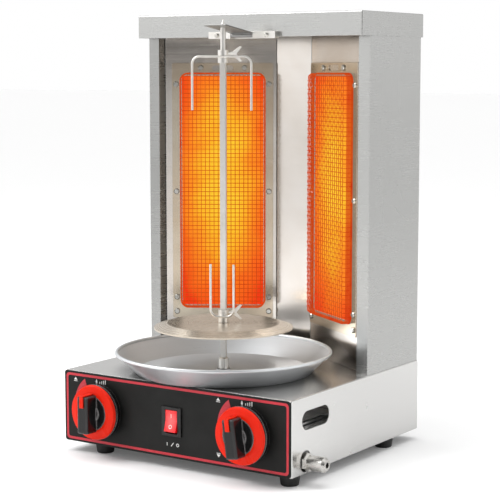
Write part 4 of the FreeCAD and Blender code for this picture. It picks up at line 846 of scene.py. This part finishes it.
def makeRockerMarks(material):
    # A bar and a ring printed on the rocker. Each point takes its depth from the nearest hit of
    # a ray shot backwards at the rocker, so that the ink follows its bent face.
    rocker = nodes["switch_rocker"]
    low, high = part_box("switch_rocker")
    middle = (np.asarray(low) + np.asarray(high))[[0, 2]] / 2
    lift = np.array([0, (high[2] - low[2]) * rockerInk["offCentre"]])
    ring, hole = (roundedOutline(r, r, r * rockerInk["roundness"]) + middle - lift
                  for r in (rockerInk["ring"], rockerInk["hole"]))
    half = rockerInk["barHalf"]
    bar = strokes([((0, -half), (0, half))], rockerInk["barWide"], panel["ink"], middle + lift)
    points, faces = joined(bar + [band(ring, hole, panel["ink"])])
    for point in points:
        start = (point[0], low[1] - rockerInk["rayStart"], point[2])
        found, spot, _, _ = rocker.ray_cast(start, (0, 1, 0))
        point[1] += spot[1] if found else low[1]
    makePiece("rockerMarks", "rocker", material, points, faces, smooth=False)


# angles in degrees from the right, radii in millimetres from the knob's middle
horn = {"steps": 40, "tip": 126, "tipInner": 131, "tail": 226, "outer": 32.0, "reach": 8.3,
        "inner": 31.9}


def crescent(spot, ink):
    # A horn about the knob in polar form: the outer radius falls with the square of the way
    # round, from a barbed tip at the upper left to a thin tail at the lower left.
    steps = horn["steps"]
    way = np.linspace(0, 1, steps)
    outerTurn, innerTurn = (np.radians(start + (horn["tail"] - start) * way)
                            for start in (horn["tip"], horn["tipInner"]))
    outer = (horn["outer"] + horn["reach"] * (1 - way ** 2)) * mm
    inner = np.full(steps, horn["inner"] * mm)
    rows = [np.stack([r * np.cos(turn), r * np.sin(turn)], 1) + spot
            for r, turn in ((outer, outerTurn), (inner, innerTurn))]
    flat = np.zeros((4, steps, 3))
    for row, (edge, depth) in enumerate(((0, 0), (0, ink), (1, ink), (1, 0))):
        flat[row, :, 0], flat[row, :, 2] = rows[edge][:, 0], rows[edge][:, 1]
        flat[row, :, 1] = -depth
    ends = np.array([[3, 2, 1, 0], [0, 1, 2, 3]]) * steps
    ends[1] += steps - 1
    return flat.reshape(-1, 3), [gridQuads(4, steps, loopRows=True), ends]


# lengths without a unit here and in arrow are millimetres
flame = {"steps": 24, "wide": 1.5, "tall": 2.3, "taper": 0.75, "barsFrom": 4.6, "barPitch": 2.6,
         "barFoot": -1.9, "barWide": 1.1 * mm, "bars": (1.2, 2.0, 2.8, 3.6)}


def flameMark(spot, ink):
    # a drop-shaped flame, an ellipse that narrows towards its top, and rising bars beside it
    turn = np.linspace(0, 2 * np.pi, flame["steps"], endpoint=False)
    lift = (1 + np.sin(turn)) / 2
    across = flame["wide"] * np.cos(turn) * (1 - flame["taper"] * lift ** 1.5)
    parts = [slab(np.stack([across, flame["tall"] * np.sin(turn)], 1) * mm + spot, ink)]
    foot = flame["barFoot"]
    for number, size in enumerate(flame["bars"]):
        x = flame["barsFrom"] + number * flame["barPitch"]
        parts += strokes([((x, foot), (x, foot + size))], flame["barWide"], ink, spot)
    return parts


arrow = {"half": 2.4, "foot": -0.9, "peak": 2.2, "barHalf": 2.2, "barDrop": -2.1,
         "barWide": 0.6 * mm}


def arrowMark(spot, ink, up):
    # a solid triangle over a short bar, pointing up (1) or down (-1)
    half, foot = arrow["half"], arrow["foot"]
    shape = np.array([(-half, foot), (half, foot), (0, arrow["peak"])]) * mm
    shape[:, 1] *= up
    shape = shape if up > 0 else shape[::-1]
    long, drop = arrow["barHalf"], arrow["barDrop"] * up
    bar = strokes([((-long, drop), (long, drop))], arrow["barWide"], ink, spot)
    return [slab(shape + spot, ink)] + bar


def paintNodes(slots):
    # every carried-over node takes the finish of its slot in the record
    for entry in frame["record"]["subparts"]:
        piece = nodes[entry["node"]]
        piece.data.materials.clear()
        piece.data.materials.append(slots[entry["material_slot"]])


def spinCentre(node):
    # a point on the upright axis through a round node
    middle = middleOf(node)
    return (middle[0], middle[1], 0)


for makeGroup in (makeSheetGrain, makeSpunGrain, makeSmudges, makeScratches, makeEdgeHighlightMask,
                  makeRecessShadeMask, makeCastGrain):
    makeGroup()
deckLevel = float(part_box("base_housing")[1][2]) - 0.5 * mm  # just under the deck's top face
finishes = {
    # the deck's steel takes painted shade in its recesses, inside the base and near the pan
    "steel_deck": sheetSteel("deckSteel", rgb("f0efed"), rgb("e8e7e5"), 0.2, 0.0000022, 700.0,
                             recessShade=0.92),
    "steel_brushed": sheetSteel("brushedSteel", rgb("c8c8c6"), rgb("c3c3c1"), 0.25, 0.0000010,
                                900.0),
    "steel_polished": sheetSteel("linerSteel", rgb("f4eee8"), rgb("ece5de"), 0.15, 0.0000018,
                                 500.0, heat=(rgb("c9b69c"), 0.4), marks=0.2),
    "steel_spun": spunSteel("spunSteel", rgb("eceef0"), rgb("dfe1e3"), 0.3,
                            spinCentre("drip_pan"), 0.0000012, 0.6),
    "steel_rod": turnedMetal("rodSteel", rgb("f6f3ee"), rgb("e2ddd5"), 0.32),
    "screw_steel": turnedMetal("screwSteel", rgb("e4e2dc"), rgb("b9b4ab"), 0.2),
    "panel_black": mouldedPlastic("panelFilm", rgb("242423"), rgb("1f1f1e"), 0.42, 0.000012,
                                  rgb("4a4a48"), 0.2, 1800.0, Specular_IOR_Level=0.15),
    # the knobs' edges take a strong pale grey painted highlight over a wide reach
    "knob_black": mouldedPlastic("knobBlack", rgb("181718"), rgb("101010"), 0.16, 0.000008,
                                 rgb("a8a4a4"), 0.9, edgeReach=0.0022, Specular_IOR_Level=0.42),
    "knob_red": mouldedPlastic("knobRed", rgb("ee2608"), rgb("e02006"), 0.3, 0.000008,
                               rgb("ff7a5a"), 0.3, Specular_IOR_Level=0.15),
    "switch_black": mouldedPlastic("switchBlack", rgb("1a1a1a"), rgb("121212"), 0.38, 0.00001,
                                   rgb("5c5a5a"), 0.4),
    "foot_rubber": mouldedPlastic("footRubber", rgb("161616"), rgb("1f1f1f"), 0.5, 0.00003,
                                  rgb("4a4a4a"), 0.3, 1500.0),
    "aluminium_tube": turnedMetal("tubeAluminium", rgb("e8e8e8"), rgb("c4c5c6"), 0.3),
    "brass_gas": turnedMetal("valveBrass", rgb("d8b468"), rgb("a98442"), 0.3),
    "inlet_nickel": turnedMetal("inletNickel", rgb("dcdad6"), rgb("b2aea8"), 0.26),
    "motor_case": turnedMetal("motorZinc", rgb("c6c8ca"), rgb("9ea0a2"), 0.4, 0.00004),
}
finishes["rocker_red"] = litRocker("rockerRed", tuple(middleOf("switch_rocker")))
finishes["wire_guard"] = wireMaterial("guardWire")
tileFinish = {}
for side, name in sides:
    centre, width, depth, tall, turn = facetFrame(f"burner_mesh_{name}", side)
    tileFinish[name] = glowingTile(f"tileGlow{name.capitalize()}", tuple(centre), -turn,
                                   width / 2, tall / 2)
finishes["ceramic_glow"] = tileFinish["left"]
paintNodes(finishes)
nodes["burner_tiles_right"].data.materials[0] = tileFinish["right"]
# pieces that differ a little from the rest of their slot
nodes["meat_plate"].data.materials[0] = spunSteel(
    "plateSteel", rgb("e2d6c6"), rgb("d2c5b4"), 0.24, spinCentre("meat_plate"), 0.0000012, 0.5)
# the holder's flap is painted darker than the same steel elsewhere, as shade on its underside
nodes["holder_flap"].data.materials[0] = sheetSteel(
    "flapShadedSteel", rgb("9c9b99"), rgb("8b8a88"), 0.3, 0.000004, 900.0)
# the left wall's steel is painted darker than the same steel elsewhere, as shade
nodes["side_wall_left"].data.materials[0] = sheetSteel(
    "leftWallShadedSteel", rgb("b2b2b0"), rgb("aaaaa8"), 0.25, 0.0000018, 900.0)
for _, name in sides:
    nodes[f"burner_plate_{name}"].data.materials[0] = sheetSteel(
        f"burnerPlateSteel{name.capitalize()}", rgb("efe4d2"), rgb("e0d0b8"), 0.2, 0.000002, 500.0,
        heat=(rgb("b98a58"), 0.5), marks=0.15)
print("finishes done")

for side, name in sides:
    makeGuard(side, name, finishes["wire_guard"])
print("burner guards done")

inkWhite = printInk("inkWhite", rgb("f2f2f0"), 0.45)
makePanelPrint(printInk("inkRed", rgb("cf3340"), 0.4), inkWhite)
makeRockerMarks(inkWhite)
print("panel print done")

makeCamera()
makeWorld()
makeFloor()
areaLight("key")
areaLight("top").visible_glossy = False
scene.view_settings.view_transform = "Standard"
print("studio done")
